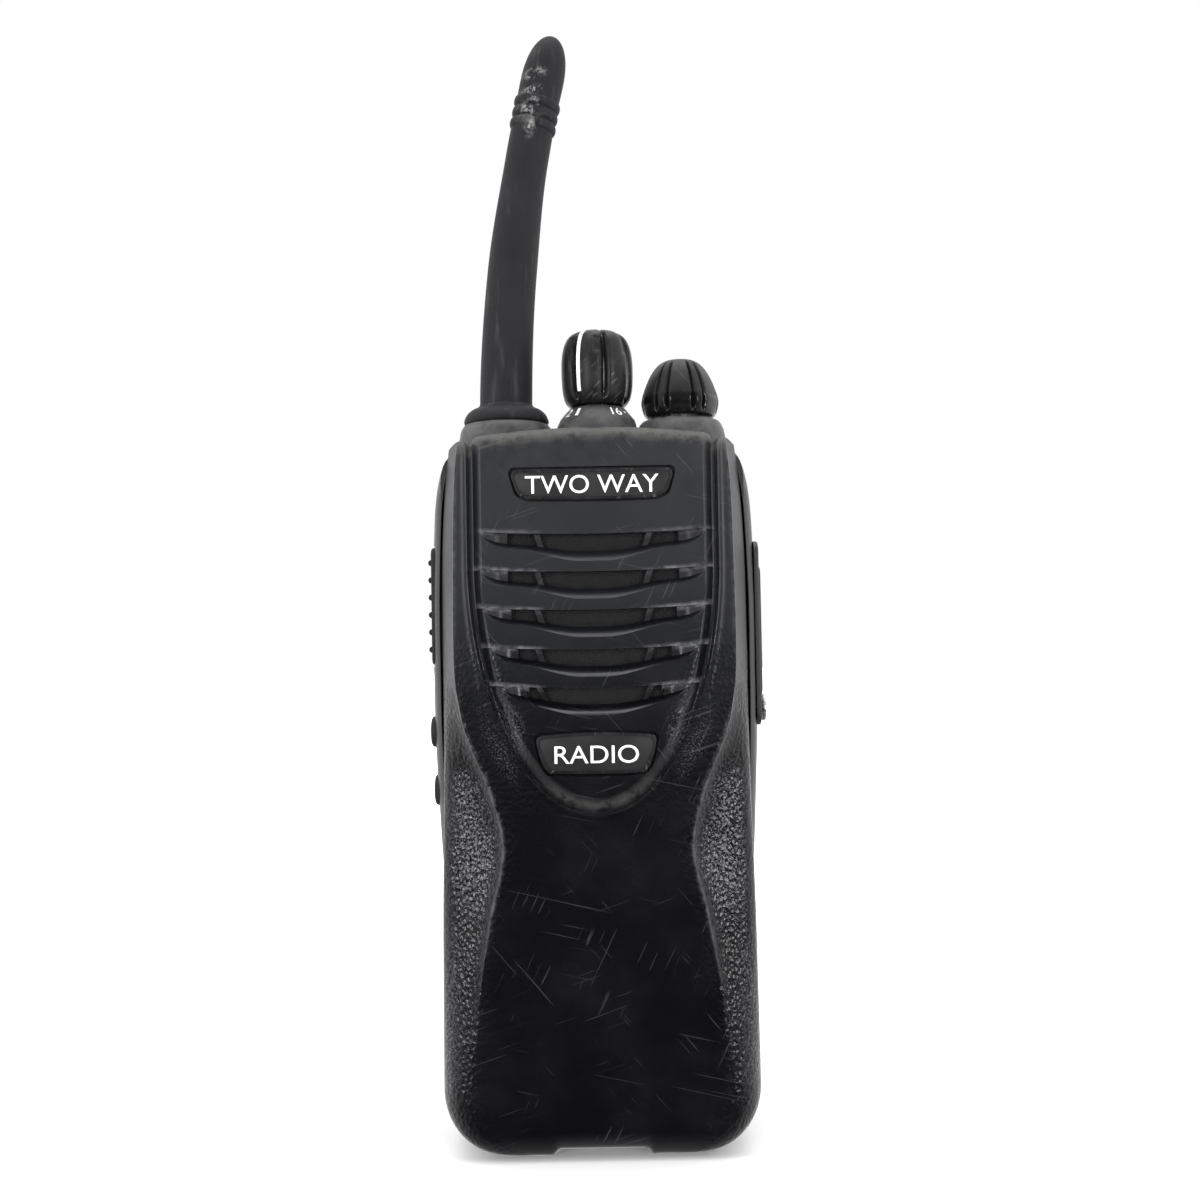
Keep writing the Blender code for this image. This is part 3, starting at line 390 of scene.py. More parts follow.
def panel_inside(x, z):
    """Distance inside the speaker panel's outline, in millimetres; negative outside it."""
    if z > PANEL_Z:
        return PANEL_HALF_WIDTH - abs(x)
    u, v = x / PANEL_HALF_WIDTH, (z - PANEL_Z) / PANEL_DROP
    r = max(1e-3, math.hypot(u, v))
    slope = max(1e-3, math.hypot(u / PANEL_HALF_WIDTH, v / PANEL_DROP) / r)
    return (1 - r) / slope


def panel_low(z):
    """0 along the panel's straight sides, and 1 at its foot."""
    return smooth((PANEL_Z - z) / PANEL_DROP * 1.4 - 0.4)


def panel_relief(x, z):
    """How far the front stands forward here: the raised speaker panel in its groove."""
    inside = panel_inside(x, z)
    low = panel_low(z)
    groove = 1.05 * (1 - 0.8 * low)
    rim = 0.95 * (1 - 0.65 * low)
    bank = 1.35 + 1.25 * low
    if inside <= 0:
        return 0.13 * bell(inside, -0.42, 0.3) * (1 - 0.6 * low)
    if inside < rim:
        return -groove * smooth(inside / rim * 2.2)
    t = min(1.0, (inside - rim) / bank)
    rise = mix(t, smooth(t), 0.45)
    return -groove + (groove + FACE_Y - PANEL_Y) * rise


def slot_lines(slot, x):
    """Heights at x of a slot's upper edge, the foot of its opening and the foot of its ledge."""
    centre, half = slot
    far = min(1.0, abs(x) / half)
    upper = centre + SLOT_SAG * far**2
    past = min(1.0, max(0.0, (abs(x) - (half - 6.3)) / 6.3))
    tip = max(0.10, math.sqrt(1 - past**2))
    swell = 1 - smooth((abs(x) - 2.0) / 11.0)
    return upper, upper - (1.75 * tip + 1.05 * swell), upper - (2.65 * tip + 1.85 * swell)


def slot_depth(x, z):
    """Depth of the sound slots' recesses here."""
    for slot in SLOTS:
        upper, foot, ledge = slot_lines(slot, x)
        if ledge < z < upper - 0.02:
            fade = 1 - smooth((abs(x) - slot[1] + 3.5) / 3.5)
            down = max(0.0, (foot - z) / (foot - ledge))
            return SLOT_RECESS * fade * (1 - down) ** 1.25
    return 0.0


def brow(x):
    """Height of the top edge: highest in the middle, with a notch where the grooves run out."""
    x = abs(x)
    middle_part = BROW_Z - 1.25 * (x / 19.2) ** 2
    flank = BROW_Z - 1.9 - 0.9 * max(0.0, (x - 22.0) / 2.0) ** 2
    return mix(middle_part, flank, smooth((x - 19.6) / 1.4)) - 0.95 * bell(x, 20.35, 0.5)


def arc_lift(x, z):
    """Bends the grid's rows near the panel's foot to follow its outline."""
    reach = min(abs(x), ARC_HALF) / PANEL_HALF_WIDTH
    lift = PANEL_DROP * (1 - math.sqrt(1 - reach**2))
    if z < PANEL_FOOT_Z - 2:
        return lift * max(0.0, 1 - (PANEL_FOOT_Z - 2 - z) / 16)
    if z > PANEL_FOOT_Z + 4:
        return lift * max(0.0, 1 - (z - PANEL_FOOT_Z - 4) / 12)
    return lift


def outline_half(z):
    """Half width that the grid's outline column has at a height."""
    if z >= PANEL_Z:
        return PANEL_HALF_WIDTH
    corner_z = PANEL_Z - PANEL_DROP * math.sqrt(1 - (ARC_HALF / PANEL_HALF_WIDTH) ** 2)
    if z >= corner_z:
        return PANEL_HALF_WIDTH * math.sqrt(1 - ((z - PANEL_Z) / PANEL_DROP) ** 2)
    return mix(ARC_HALF, section_at(z)[0] * 0.87, smooth((corner_z - z) / 14))


class Row:
    """A line of the grid across the front: its height at x, how far it has turned back, how the
    slot ribs lean on it, and which slot opens above it, if any."""

    def __init__(self, height, turned=0.0, lean=0.0, slot=None):
        self.height, self.turned, self.lean, self.slot = height, turned, lean, slot


def front_rows():
    """All rows, from the lower rear edge up the front, over the slots, and back over the brow."""
    rows = [Row(lambda x: 0.0, FRONT_DEPTH)]
    for k in range(10):
        a = math.radians(9 * k)
        rows.append(Row(lambda x, z=5.5 * (1 - math.cos(a)): z, (FRONT_DEPTH - 0.4) * (1 - math.sin(a))))
    foot = PANEL_FOOT_Z
    heights = steps(5.5, 40, 40) + steps(40, foot - 1, 30) + [foot - 1, foot - 0.7, foot - 0.42, foot - 0.2]
    heights += [foot, foot + 0.1, foot + 0.2, foot + 0.33] + steps(foot + 0.55, foot + 3.2, 9)
    heights += steps(foot + 3.2, 73.4, 27)
    rows += [Row(lambda x, z=z: z + arc_lift(x, z)) for z in heights]
    for k in reversed(range(len(SLOTS))):
        rows += slot_rows(k)
    for k, share in enumerate(steps(0, 1, 20)[1:] + [1.0]):
        rows.append(Row(lambda x, t=share: mix(slot_lines(SLOTS[0], x)[0], brow(x) - 1.9, t)))
    for k in range(1, 9):
        a = math.radians(90 * k / 8)
        rows.append(Row(lambda x, a=a: brow(x) - 1.9 * (1 - math.sin(a)), 1.9 * (1 - math.cos(a))))
    rows.append(Row(brow, 3.4))
    rows.append(Row(brow, FRONT_DEPTH))
    return rows


def slot_rows(k):
    """Rows of one sound slot: its ledge, its opening, its upper edge, and the band above it."""
    slot = SLOTS[k]

    def between(upper, lower, t):
        return lambda x: mix(slot_lines(slot, x)[upper], slot_lines(slot, x)[lower], t)

    rows = [Row(between(2, 1, t), lean=-1.3) for t in (0.0, 0.2, 0.4, 0.6, 0.8)]
    rows += [Row(between(1, 1, 0), lean=-1, slot=k), Row(between(1, 0, 0.5), slot=k)]
    rows += [Row(lambda x: slot_lines(slot, x)[0] - 0.07, lean=1), Row(between(0, 0, 0), lean=1)]
    if k:
        over = SLOTS[k - 1]
        for t in steps(0, 1, 6)[1:]:
            rows.append(Row(lambda x, t=t: mix(slot_lines(slot, x)[0], slot_lines(over, x)[2], t)))
    return rows


def front_columns():
    """Half of the columns: (place across the face in its widest millimetres, share of the side)."""
    inner = steps(0, SLOT_RIB[0], 16) + [SLOT_RIB[0], 9.0, SLOT_RIB[1]] + steps(9.5, 16.8, 14)[1:]
    inner += steps(16.8, PANEL_HALF_WIDTH, 20) + steps(PANEL_HALF_WIDTH, FACE_END, 9) + [FACE_END]
    return [(c, 0.0) for c in inner] + [(FACE_END, t) for t in steps(0, 1, 14)[1:] + [1.0]]


def face_x(c, z, ridge, lean):
    """Where a column crosses a height on the flat face."""
    outline = min(outline_half(z), ridge - 0.4)
    if c > PANEL_HALF_WIDTH:
        return mix(outline, ridge, (c - PANEL_HALF_WIDTH) / (FACE_END - PANEL_HALF_WIDTH))
    x = c / PANEL_HALF_WIDTH * outline
    if SLOTS[-1][0] - 4 < z < SLOTS[0][0] + 2:
        rib = sum(SLOT_RIB) / 2
        straight = 1 - smooth((c - 17.0) / 2.5)
        x = mix(x, c * min(1.0, (outline - 1.2) / 17.0), straight)
        x += 0.45 * lean * max(0.0, 1 - abs(x - rib) / 2.0)
    return x


def front_point(row, column, side):
    """Outer point, inner point and the painted values where a row and a column cross."""
    c, along = column
    z = row.height(c)
    for _ in range(3):
        ridge, edge, out_x, out_d, in_x, in_d = section_at(z)
        squeeze = corner_share(z)
        ridge, edge = ridge * squeeze, edge * squeeze
        x = face_x(c, z, ridge, row.lean)
        if along:
            x = bezier(ridge, ridge + out_x * squeeze, edge - in_x, edge, along)
        z = row.height(x)

    depth = bezier(0.0, out_d, in_d, FRONT_DEPTH, along)
    flat = max(0.0, 1 - row.turned / FRONT_DEPTH)
    deep = FRONT_DEPTH - (FRONT_DEPTH - depth) * flat
    relief = 0.0 if along else (panel_relief(x, z) - slot_depth(x, z)) * flat
    notch = 1.1 * (1 - smooth((x - 7.0) / 1.4)) * max(0.0, 1 - z / 5)
    outer = (side * x, FACE_Y + deep - relief, z + notch)

    inner_z = z + WALL * max(0.0, 1 - z / 12) - WALL * max(0.0, (z - 107) / 12)
    inner_x = x - WALL * (c / FACE_END) ** 4
    inner_y = FACE_Y + WALL + (FRONT_DEPTH - WALL) * deep / FRONT_DEPTH
    return outer, (side * inner_x, inner_y, inner_z), front_paint(x, z, along, ridge, row)


def front_paint(x, z, along, ridge, row):
    """(grain, wear and highlight, dust and sheen, painted glint) at a point of the front. The painted glint
    is pale spots painted on the grain as highlights: the grip's hollows, its lower edges, and both sides of
    the lower badge."""
    inside = panel_inside(x, z)

    # Grain: full on the grip's sides, faint on the polished middle, half on the flanks above.
    beside = 1.0 if along else smooth((x - ridge + 3.5) / 3.5)
    grain = mix(0.04, 1.0, beside) * mix(1.0, 0.12, smooth((z - 70) / 16))
    if z > PANEL_FOOT_Z - 4:
        flank = smooth((z - PANEL_FOOT_Z + 4) / 8) * (1 - smooth((z - 80) / 12))
        grain = max(grain, flank * (0.5 if inside < 0 else 0.5 * (1 - smooth((inside - 3.0) / 4.0))))
    if inside > 0.1:
        grain *= mix(1.0, 0.12, smooth((72 - z) / 6) * (1 - smooth((x - 9) / 4)))

    # Wear and painted highlight: pale worn edges, partly painted highlight, along the grip's creases and the
    # upper flanks' edges, and a painted highlight on the outer ends of the slots' lips.
    waist = smooth((z - 30) / 9) * (1 - smooth((z - 68) / 8))
    wear_and_highlight = 0.35 * bell(x, ridge, 0.22) * waist if along < 0.15 else 0.0
    wear_and_highlight += 0.25 * bell(x, ridge, 0.4) * smooth((z - 78) / 12) if along < 0.1 else 0.0
    if row.lean == 1 and row.slot is None and inside > 0.8:
        wear_and_highlight += 0.8 * smooth((x - 7) / 5) * (1 - 0.5 * smooth((z - 96) / 8))

    # Dust on the brow and a little in the slots; and a painted sheen: a pale, matt band on the bank at the
    # panel's foot, standing in for the light that this downward-facing bevel catches.
    dust_and_sheen = 0.85 * smooth((z - brow(x) + 3.0) / 2.4) + 0.06 * smooth((z - 104) / 12)
    dust_and_sheen += 0.42 * bell(inside, 1.4, 0.9) * smooth((PANEL_FOOT_Z + 8 - z) / 6)
    if row.slot is not None or row.lean == 1:
        dust_and_sheen += 0.05

    # Painted glints: highlight spots painted in the grip's hollows, along its lower edges, beside the lower
    # badge and under its groove.
    grip = 0.0
    if along:
        grip = bell(along, 0.42, 0.26) * smooth((z - 36) / 12) * (1 - smooth((z - 60) / 5))
        lower_edge = 0.7 * bell(along, 0.62, 0.22) * smooth((z - 8) / 5) * (1 - smooth((z - 24) / 22))
        grip = max(grip, lower_edge)
    beside_badge = bell(inside, 3.2, 2.2) * bell(z, 68.5, 4.0) * smooth((x - 11) / 2.5)
    under_groove = 0.5 * bell(inside, -1.8, 1.3) * bell(z, 66.0, 6.0) * smooth((x - 12) / 3)
    return grain, wear_and_highlight, min(1.0, dust_and_sheen), min(1.0, max(grip, beside_badge, under_groove))


def front_shell():
    """The front case as two skins, bridged round its rear edge and round each sound slot."""
    rows, half = front_rows(), front_columns()
    columns = [(c, -1) for c in reversed(half[1:])] + [(c, 1) for c in half]
    bm = bmesh.new()
    layers = [bm.verts.layers.float.new(name) for name in ("grain", "wear_and_highlight", "dust_and_sheen", "painted_glint")]
    skins = ([], [])
    for row in rows:
        outer_row, inner_row = [], []
        for column, side in columns:
            outer, inner, paint = front_point(row, column, side)
            vert = bm.verts.new(outer)
            for layer, value in zip(layers, paint):
                vert[layer] = value
            outer_row.append(vert)
            inner_row.append(bm.verts.new(inner))
        skins[0].append(outer_row)
        skins[1].append(inner_row)

    def is_open(i, j):
        if not (0 <= i < len(rows) - 1 and 0 <= j < len(columns) - 1):
            return True
        if rows[i].slot is None:
            return False
        across = sorted(columns[k][0][0] for k in (j, j + 1))
        far = max(abs(skins[0][i][k].co.x) for k in (j, j + 1))
        in_rib = across[0] >= SLOT_RIB[0] and across[1] <= SLOT_RIB[1]
        return far < SLOTS[rows[i].slot][1] - SLOT_HOLE_END and not in_rib

    for i in range(len(rows) - 1):
        for j in range(len(columns) - 1):
            if is_open(i, j):
                continue
            square = ((i, j), (i, j + 1), (i + 1, j + 1), (i + 1, j))
            bm.faces.new([skins[0][a][b] for a, b in square])
            bm.faces.new([skins[1][a][b] for a, b in reversed(square)])
            beside = ((i - 1, j), (i, j + 1), (i + 1, j), (i, j - 1))
            for (a, b), next_cell in zip(zip(square, square[1:] + square[:1]), beside):
                if is_open(*next_cell):
                    o, n = skins
                    bm.faces.new((o[b[0]][b[1]], o[a[0]][a[1]], n[a[0]][a[1]], n[b[0]][b[1]]))
    return object_of("front_shell", bm, CASE, "radio", ("front_case",), sharp=32)


def badge_outline(half_width, low, high, grow=0.0, arch=0.0):
    """Badge shape: small round corners on top, sides that turn in, wide corners and a bowed foot."""
    half, low, high = half_width + grow, low - grow, high + grow
    top, foot, lean = 1.0, (high - low) * 0.52, 0.5
    waist = (half - lean, low + foot)
    right = [(half * t, low + 0.35 * t**2) for t in steps(0.0, 0.78, 8)]
    right += through([(half * 0.78, low + 0.21), (half - lean - 0.7, low + foot * 0.40), waist], 6)[:-1]
    right += through([waist, (half - 0.05, high - top), (half - 0.3, high - 0.25), (half - top, high)], 5)
    right += [(half * t, high) for t in (0.7, 0.45, 0.2, 0.0)]
    points = right + [(-x, z) for x, z in reversed(right[1:-1])]

    def bowed(x, z):
        upper_half = smooth((z - low) / (high - low) * 2 - 1)
        return x, z + arch * (1 - (x / half) ** 2) * upper_half

    return [bowed(x, z) for x, z in points]


def plate(name, outline, near, far, material, body=None, replaces=(), bevel=0.0):
    """An outline in XZ between two depths, with its front rim rounded."""
    return prism(name, outline, "Y", far, near, material, body, replaces, bevel, segments=3)


# Badge sizes: half width, foot and top.
TOP_BADGE = (13.5, 107.9, 113.2)
LOW_BADGE = (10.0, 62.9, 69.4)
LOW_BADGE_ARCH = 0.5


def front_case():
    """The front shell with a seat cut for each badge."""
    shell = front_shell()
    for name, shape, arch in (("seat_top", TOP_BADGE, 0.0), ("seat_low", LOW_BADGE, LOW_BADGE_ARCH)):
        outline = badge_outline(*shape, grow=0.28, arch=arch)
        cut(shell, plate(name, outline, PANEL_Y - 1, PANEL_Y + 0.9, CASE))
    bake(shell, 32)


# ---------------------------------------------------------------- shape helpers


def prism(
    name, outline, axis, low, high, material, body=None, replaces=(), bevel=0.0, rims="high", segments=4
):
    """An outline pushed along X, Y or Z, with one or both of its rims rounded."""
    place = {
        "X": lambda p, h: (h, p[0], p[1]),
        "Y": lambda p, h: (p[0], h, p[1]),
        "Z": lambda p, h: (p[0], p[1], h),
    }[axis]
    bm = bmesh.new()
    face = bm.faces.new([bm.verts.new(place(p, low)) for p in outline])
    near = list(bm.verts)
    made = bmesh.ops.extrude_face_region(bm, geom=[face])["geom"]
    far = [v for v in made if isinstance(v, bmesh.types.BMVert)]
    bmesh.ops.translate(bm, vec=Vector(place((0, 0), high - low)), verts=far)
    if bevel:
        ends = {"high": [far], "low": [near], "both": [far, near]}[rims]
        rim = [e for e in bm.edges if any(all(v in end for v in e.verts) for end in ends)]
        bmesh.ops.bevel(bm, geom=rim, offset=bevel, segments=segments, profile=0.5, affect="EDGES")
    return object_of(name, bm, material, body, replaces)


def block(name, low, high, material, body=None, replaces=(), bevel=0.0):
    """A box between two corners, all of its edges rounded."""
    size = Vector(high) - Vector(low)
    bm = bmesh.new()
    bmesh.ops.create_cube(bm, size=1.0)
    bmesh.ops.scale(bm, vec=size, verts=bm.verts)
    bmesh.ops.translate(bm, vec=(Vector(low) + Vector(high)) / 2, verts=bm.verts)
    if bevel:
        bmesh.ops.bevel(bm, geom=bm.edges[:], offset=bevel, segments=4, profile=0.5, affect="EDGES")
    return object_of(name, bm, material, body, replaces)


def turned(name, profile, at, material, body=None, replaces=(), axis="Z", segments=96, closed=False):
    """A profile of (radius, height) points spun about an axis. An open one starts and ends on it."""
    up = {"X": Vector((1, 0, 0)), "Y": Vector((0, 1, 0)), "Z": Vector((0, 0, 1))}[axis]
    out = Vector((0, 1, 0)) if axis == "X" else Vector((1, 0, 0))
    bm = bmesh.new()
    points = [bm.verts.new(out * r + up * h) for r, h in profile]
    edges = [bm.edges.new(pair) for pair in zip(points, points[1:])]
    if closed:
        edges.append(bm.edges.new((points[-1], points[0])))
    bmesh.ops.spin(
        bm, geom=points + edges, cent=(0, 0, 0), axis=up, angle=math.tau, steps=segments, use_merge=True
    )
    bmesh.ops.remove_doubles(bm, verts=bm.verts, dist=1e-4)
    bmesh.ops.translate(bm, vec=Vector(at), verts=bm.verts)
    return object_of(name, bm, material, body, replaces)


def bore(name, radius, at, axis="Z", depth=4.0, segments=32):
    """Round cutter that starts at a point and runs along an axis."""
    profile = [(0, 0), (radius, 0), (radius, depth), (0, depth)]
    return turned(name, profile, at, REAR, axis=axis, segments=segments)


def rings(name, loops, material, body=None, replaces=(), paint=None, sharp=35):
    """Closed skin over rings of equal count, in order, with a flat cap on the first and last."""
    bm = bmesh.new()
    layer = bm.verts.layers.float.new("gloss") if paint else None
    rows = []
    for loop in loops:
        rows.append([bm.verts.new(p) for p in loop])
        if paint:
            for vert in rows[-1]:
                vert[layer] = paint(vert.co)
    count = len(rows[0])
    for lower, upper in zip(rows, rows[1:]):
        for i in range(count):
            j = (i + 1) % count
            bm.faces.new((lower[i], lower[j], upper[j], upper[i]))
    bm.faces.new(rows[0][::-1])
    bm.faces.new(rows[-1])
    return object_of(name, bm, material, body, replaces, sharp=sharp)


def arc(centre, radius, start, end, count):
    """Points on an arc, in degrees, both ends included."""
    angles = [math.radians(mix(start, end, i / count)) for i in range(count + 1)]
    return [(centre[0] + radius * math.cos(a), centre[1] + radius * math.sin(a)) for a in angles]


def mirrored(right):
    return right + [(-x, z) for x, z in reversed(right)]


def rounded(half_width, low, high, corner, count=10):
    """Rectangle with round corners, centred on 0 in its first direction."""
    inner = half_width - corner
    lower = arc((inner, low + corner), corner, -90, 0, count)
    upper = arc((inner, high - corner), corner, 0, 90, count)
    return mirrored(lower + upper)


def through(points, per_span=6):
    """A smooth curve through points, by Catmull-Rom, ends included."""
    made = []
    last = len(points) - 1
    for i in range(last):
        p, a, b, q = (Vector(points[min(max(i + k, 0), last)]) for k in (-1, 0, 1, 2))
        for k in range(per_span):
            t = k / per_span
            bend = a * 2 + (b - p) * t + (p * 2 - a * 5 + b * 4 - q) * t**2 + (a * 3 - b * 3 + q - p) * t**3
            made.append(tuple(bend / 2))
    return made + [tuple(points[-1])]


def lettering(name, text, width, height, place, material, body, thickness=0.12):
    """Text as thin raised paint. place turns its (u, v, w) in millimetres into a point."""
    curve = bpy.data.curves.new(name, "FONT")
    curve.body = text
    curve.align_x = "CENTER"
    curve.size = 1.0
    curve.extrude = 0.5
    curve.resolution_u = 6
    source = bpy.data.objects.new(name, curve)
    bpy.context.scene.collection.objects.link(source)
    graph = bpy.context.evaluated_depsgraph_get()
    mesh = bpy.data.meshes.new_from_object(source.evaluated_get(graph))
    bpy.data.objects.remove(source)
    bm = bmesh.new()
    bm.from_mesh(mesh)
    bmesh.ops.remove_doubles(bm, verts=bm.verts, dist=1e-5)
    us = [v.co.x for v in bm.verts]
    vs = [v.co.y for v in bm.verts]
    wide, tall = max(us) - min(us), max(vs) - min(vs)
    for v in bm.verts:
        u = (v.co.x - (max(us) + min(us)) / 2) / wide * width
        up = (v.co.y - (max(vs) + min(vs)) / 2) / tall * height
        v.co = place(u, up, v.co.z * thickness)
    return object_of(name, bm, material, body)


# ---------------------------------------------------------------- more materials


def rubber(name, colour, scuffed=False):
    """Matt rubber: mottled, slightly porous, with pale scuffs where it has been knocked."""
    n = Nodes(name)
    cloud = n.noise(120.0, 6.0, 0.7)
    lighter = tuple(c * 1.5 + 0.002 for c in colour)
    tone = n.blend(n.ramp(cloud, 0.35, 0.7), colour, lighter)
    streak = n.noise(1.0, 3.0, 0.6, n.scaled(700.0, 700.0, 60.0))
    tone = n.blend(n.math("MULTIPLY", n.ramp(streak, 0.55, 0.8), 0.25), tone, (0.12, 0.12, 0.12))
    height = n.noise(1600.0, 4.0, 0.65)
    if scuffed:
        scuff = n.math("MULTIPLY", n.painted("gloss"), n.ramp(n.noise(520.0, 5.0, 0.75), 0.47, 0.60), True)
        tone = n.blend(scuff, tone, (0.42, 0.42, 0.41))
        height = n.math("ADD", height, n.math("MULTIPLY", scuff, -1.2))
    n.set("Base Color", tone)
    n.set("Roughness", n.ramp(cloud, 0.3, 0.75, 0.62, 0.78))
    n.set("IOR", 1.34)
    n.set("Normal", n.bump(height, 0.30, 0.00010))
    return n.owner


def knob_plastic():
    """Satin black plastic whose painted parts are polished by fingers."""
    n = Nodes("knob_plastic")
    cloud = n.noise(300.0, 5.0, 0.65)
    polished = n.painted("gloss")
    tone = n.blend(n.ramp(cloud, 0.4, 0.75), (0.0055, 0.0055, 0.0062), (0.013, 0.013, 0.0142))
    scratch = n.scratches((0.1, 0.6, -0.8), length=220.0, width=2600.0, cut=0.71)
    tone = n.blend(n.math("MULTIPLY", scratch, 0.4), tone, (0.13, 0.13, 0.13))
    n.set("Base Color", n.blend(polished, tone, (0.004, 0.004, 0.0045)))
    rough = n.ramp(cloud, 0.3, 0.8, 0.38, 0.52)
    n.set("Roughness", n.math("SUBTRACT", rough, n.math("MULTIPLY", polished, 0.24), True))
    n.set("IOR", 1.36)
    n.set("Normal", n.bump(n.noise(2400.0, 3.0), 0.14, 0.00005))
    return n.owner


def dusty_collar():
    """Case plastic with olive grey dust that has settled in its steps."""
    n = Nodes("dusty_collar")
    cloud = n.noise(260.0, 6.0, 0.7)
    settled = n.ramp(cloud, 0.40, 0.68)
    n.set("Base Color", n.blend(settled, (0.030, 0.030, 0.032), (0.085, 0.083, 0.082)))
    n.set("Roughness", n.ramp(cloud, 0.35, 0.7, 0.42, 0.80))
    n.set("Normal", n.bump(n.noise(2200.0, 4.0, 0.7), 0.2, 0.00007))
    return n.owner


def brushed_metal(name, colour, roughness):
    """Metal with fine turning marks, and darker where dirt stays."""
    n = Nodes(name)
    marks = n.noise(1.0, 3.0, 0.5, n.scaled(400.0, 5000.0, 5000.0))
    grime = n.ramp(n.noise(450.0, 5.0, 0.7), 0.52, 0.75)
    dark = tuple(c * 0.35 for c in colour)
    n.set("Base Color", n.blend(n.math("MULTIPLY", grime, 0.7), colour, dark))
    n.set("Metallic", 1.0)
    n.set("Roughness", n.ramp(marks, 0.2, 0.8, roughness, roughness + 0.2))
    n.set("Normal", n.bump(marks, 0.15, 0.00003))
    return n.owner


def circuit_board():
    """Green solder mask over copper tracks, with tinned pads in rows."""
    n = Nodes("circuit_board")
    grid = n.node("ShaderNodeTexBrick", Scale=160.0, Vector=n.coords)
    grid.inputs["Mortar Size"].default_value = 0.03
    tracks = n.math("SUBTRACT", 1.0, grid.outputs["Fac"])
    tone = n.blend(n.math("MULTIPLY", tracks, 0.5), (0.012, 0.10, 0.045), (0.02, 0.17, 0.07))
    pads = n.ramp(n.voronoi(420.0), 0.20, 0.16)
    n.set("Base Color", n.blend(pads, tone, (0.55, 0.54, 0.50)))
    n.set("Roughness", n.ramp(n.noise(300.0), 0.3, 0.7, 0.25, 0.42))
    n.set("Normal", n.bump(pads, 0.3, 0.0001))
    return n.owner


def sleeve_film():
    """Shrink film round a cell, with faint lengthwise pull lines."""
    n = Nodes("sleeve_film")
    pull = n.noise(1.0, 4.0, 0.6, n.scaled(900.0, 900.0, 40.0))
    n.set("Base Color", n.blend(n.ramp(pull, 0.35, 0.7), (0.02, 0.13, 0.28), (0.04, 0.19, 0.37)))
    n.set("Roughness", n.ramp(pull, 0.3, 0.7, 0.22, 0.40))
    n.set("Normal", n.bump(pull, 0.2, 0.00006))
    return n.owner


def woven(name, colour, pitch):
    """Fine square weave."""
    n = Nodes(name)
    threads = 1.0
    for direction in ("X", "Z"):
        wave = n.node("ShaderNodeTexWave", {"bands_direction": direction}, Scale=pitch, Vector=n.coords)
        threads = n.math("MULTIPLY", threads, wave.outputs["Fac"])
    n.set("Base Color", n.blend(threads, tuple(c * 0.4 for c in colour), colour))
    n.set("Roughness", n.ramp(n.noise(500.0), 0.3, 0.7, 0.85, 0.95))
    n.set("Normal", n.bump(threads, 0.6, 0.00012))
    return n.owner


def clear_lens():
    """Slightly hazed clear plastic."""
    n = Nodes("clear_lens")
    haze = n.noise(700.0, 4.0, 0.6)
    n.set("Base Color", n.blend(n.ramp(haze, 0.3, 0.8), (0.80, 0.82, 0.80), (0.62, 0.64, 0.60)))
    n.set("Transmission Weight", 0.85)
    n.set("Roughness", n.ramp(haze, 0.3, 0.8, 0.08, 0.22))
    n.set("Normal", n.bump(haze, 0.1, 0.00003))
    return n.owner


def white_paint():
    """White print, a little worn through and dirtied."""
    n = Nodes("white_paint")
    worn = n.ramp(n.noise(1400.0, 5.0, 0.7), 0.60, 0.76)
    n.set("Base Color", n.blend(n.math("MULTIPLY", worn, 0.45), (0.86, 0.86, 0.87), (0.42, 0.42, 0.42)))
    n.set("Roughness", n.ramp(worn, 0.0, 1.0, 0.42, 0.6))
    n.set("Normal", n.bump(n.noise(3000.0, 2.0), 0.1, 0.00003))
    return n.owner


REAR = satin("case_satin", (0.017, 0.0172, 0.0180), 0.40, 2300.0, 0.00012, 0.5)
BADGE = satin("badge_satin", (0.0105, 0.0100, 0.0112), 0.36, 2600.0, 0.00006, 0.6)
KEY = rubber("key_rubber", (0.012, 0.012, 0.013))
ROD = rubber("rod_rubber", (0.0072, 0.0069, 0.0086), scuffed=True)
KNOB = knob_plastic()
COLLAR = dusty_collar()
STEEL = brushed_metal("turned_steel", (0.66, 0.66, 0.65), 0.24)
BRASS = brushed_metal("turned_brass", (0.80, 0.62, 0.32), 0.26)
BOARD = circuit_board()
SLEEVE = sleeve_film()
CLOTH = woven("speaker_cloth", (0.016, 0.016, 0.017), 900.0)
CONE = woven("pressed_paper", (0.075, 0.068, 0.06), 420.0)
LENS = clear_lens()
WHITE = white_paint()

SLOT_MATERIALS = {
    "case_black": REAR,
    "key_rubber": KEY,
    "antenna_rubber": ROD,
    "knob_black": KNOB,
    "badge_black": BADGE,
    "bare_metal": STEEL,
    "brass": BRASS,
    "board_green": BOARD,
    "cell_sleeve": SLEEVE,
    "lens_clear": LENS,
    "cloth_black": CLOTH,
    "paper_cone": CONE,
}


def dress_nodes():
    """Every solid that stays on show gets the material of its slot."""
    for node, obj in frame["nodes"].items():
        obj.data.materials.clear()
        obj.data.materials.append(SLOT_MATERIALS[slot_of(node)])


# ---------------------------------------------------------------- badges


def flat_on_front(middle_z, y):
    """Placement for lettering that faces forward."""
    def place(u, v, w):
        return Vector((u, y - w, middle_z + v))

    return place


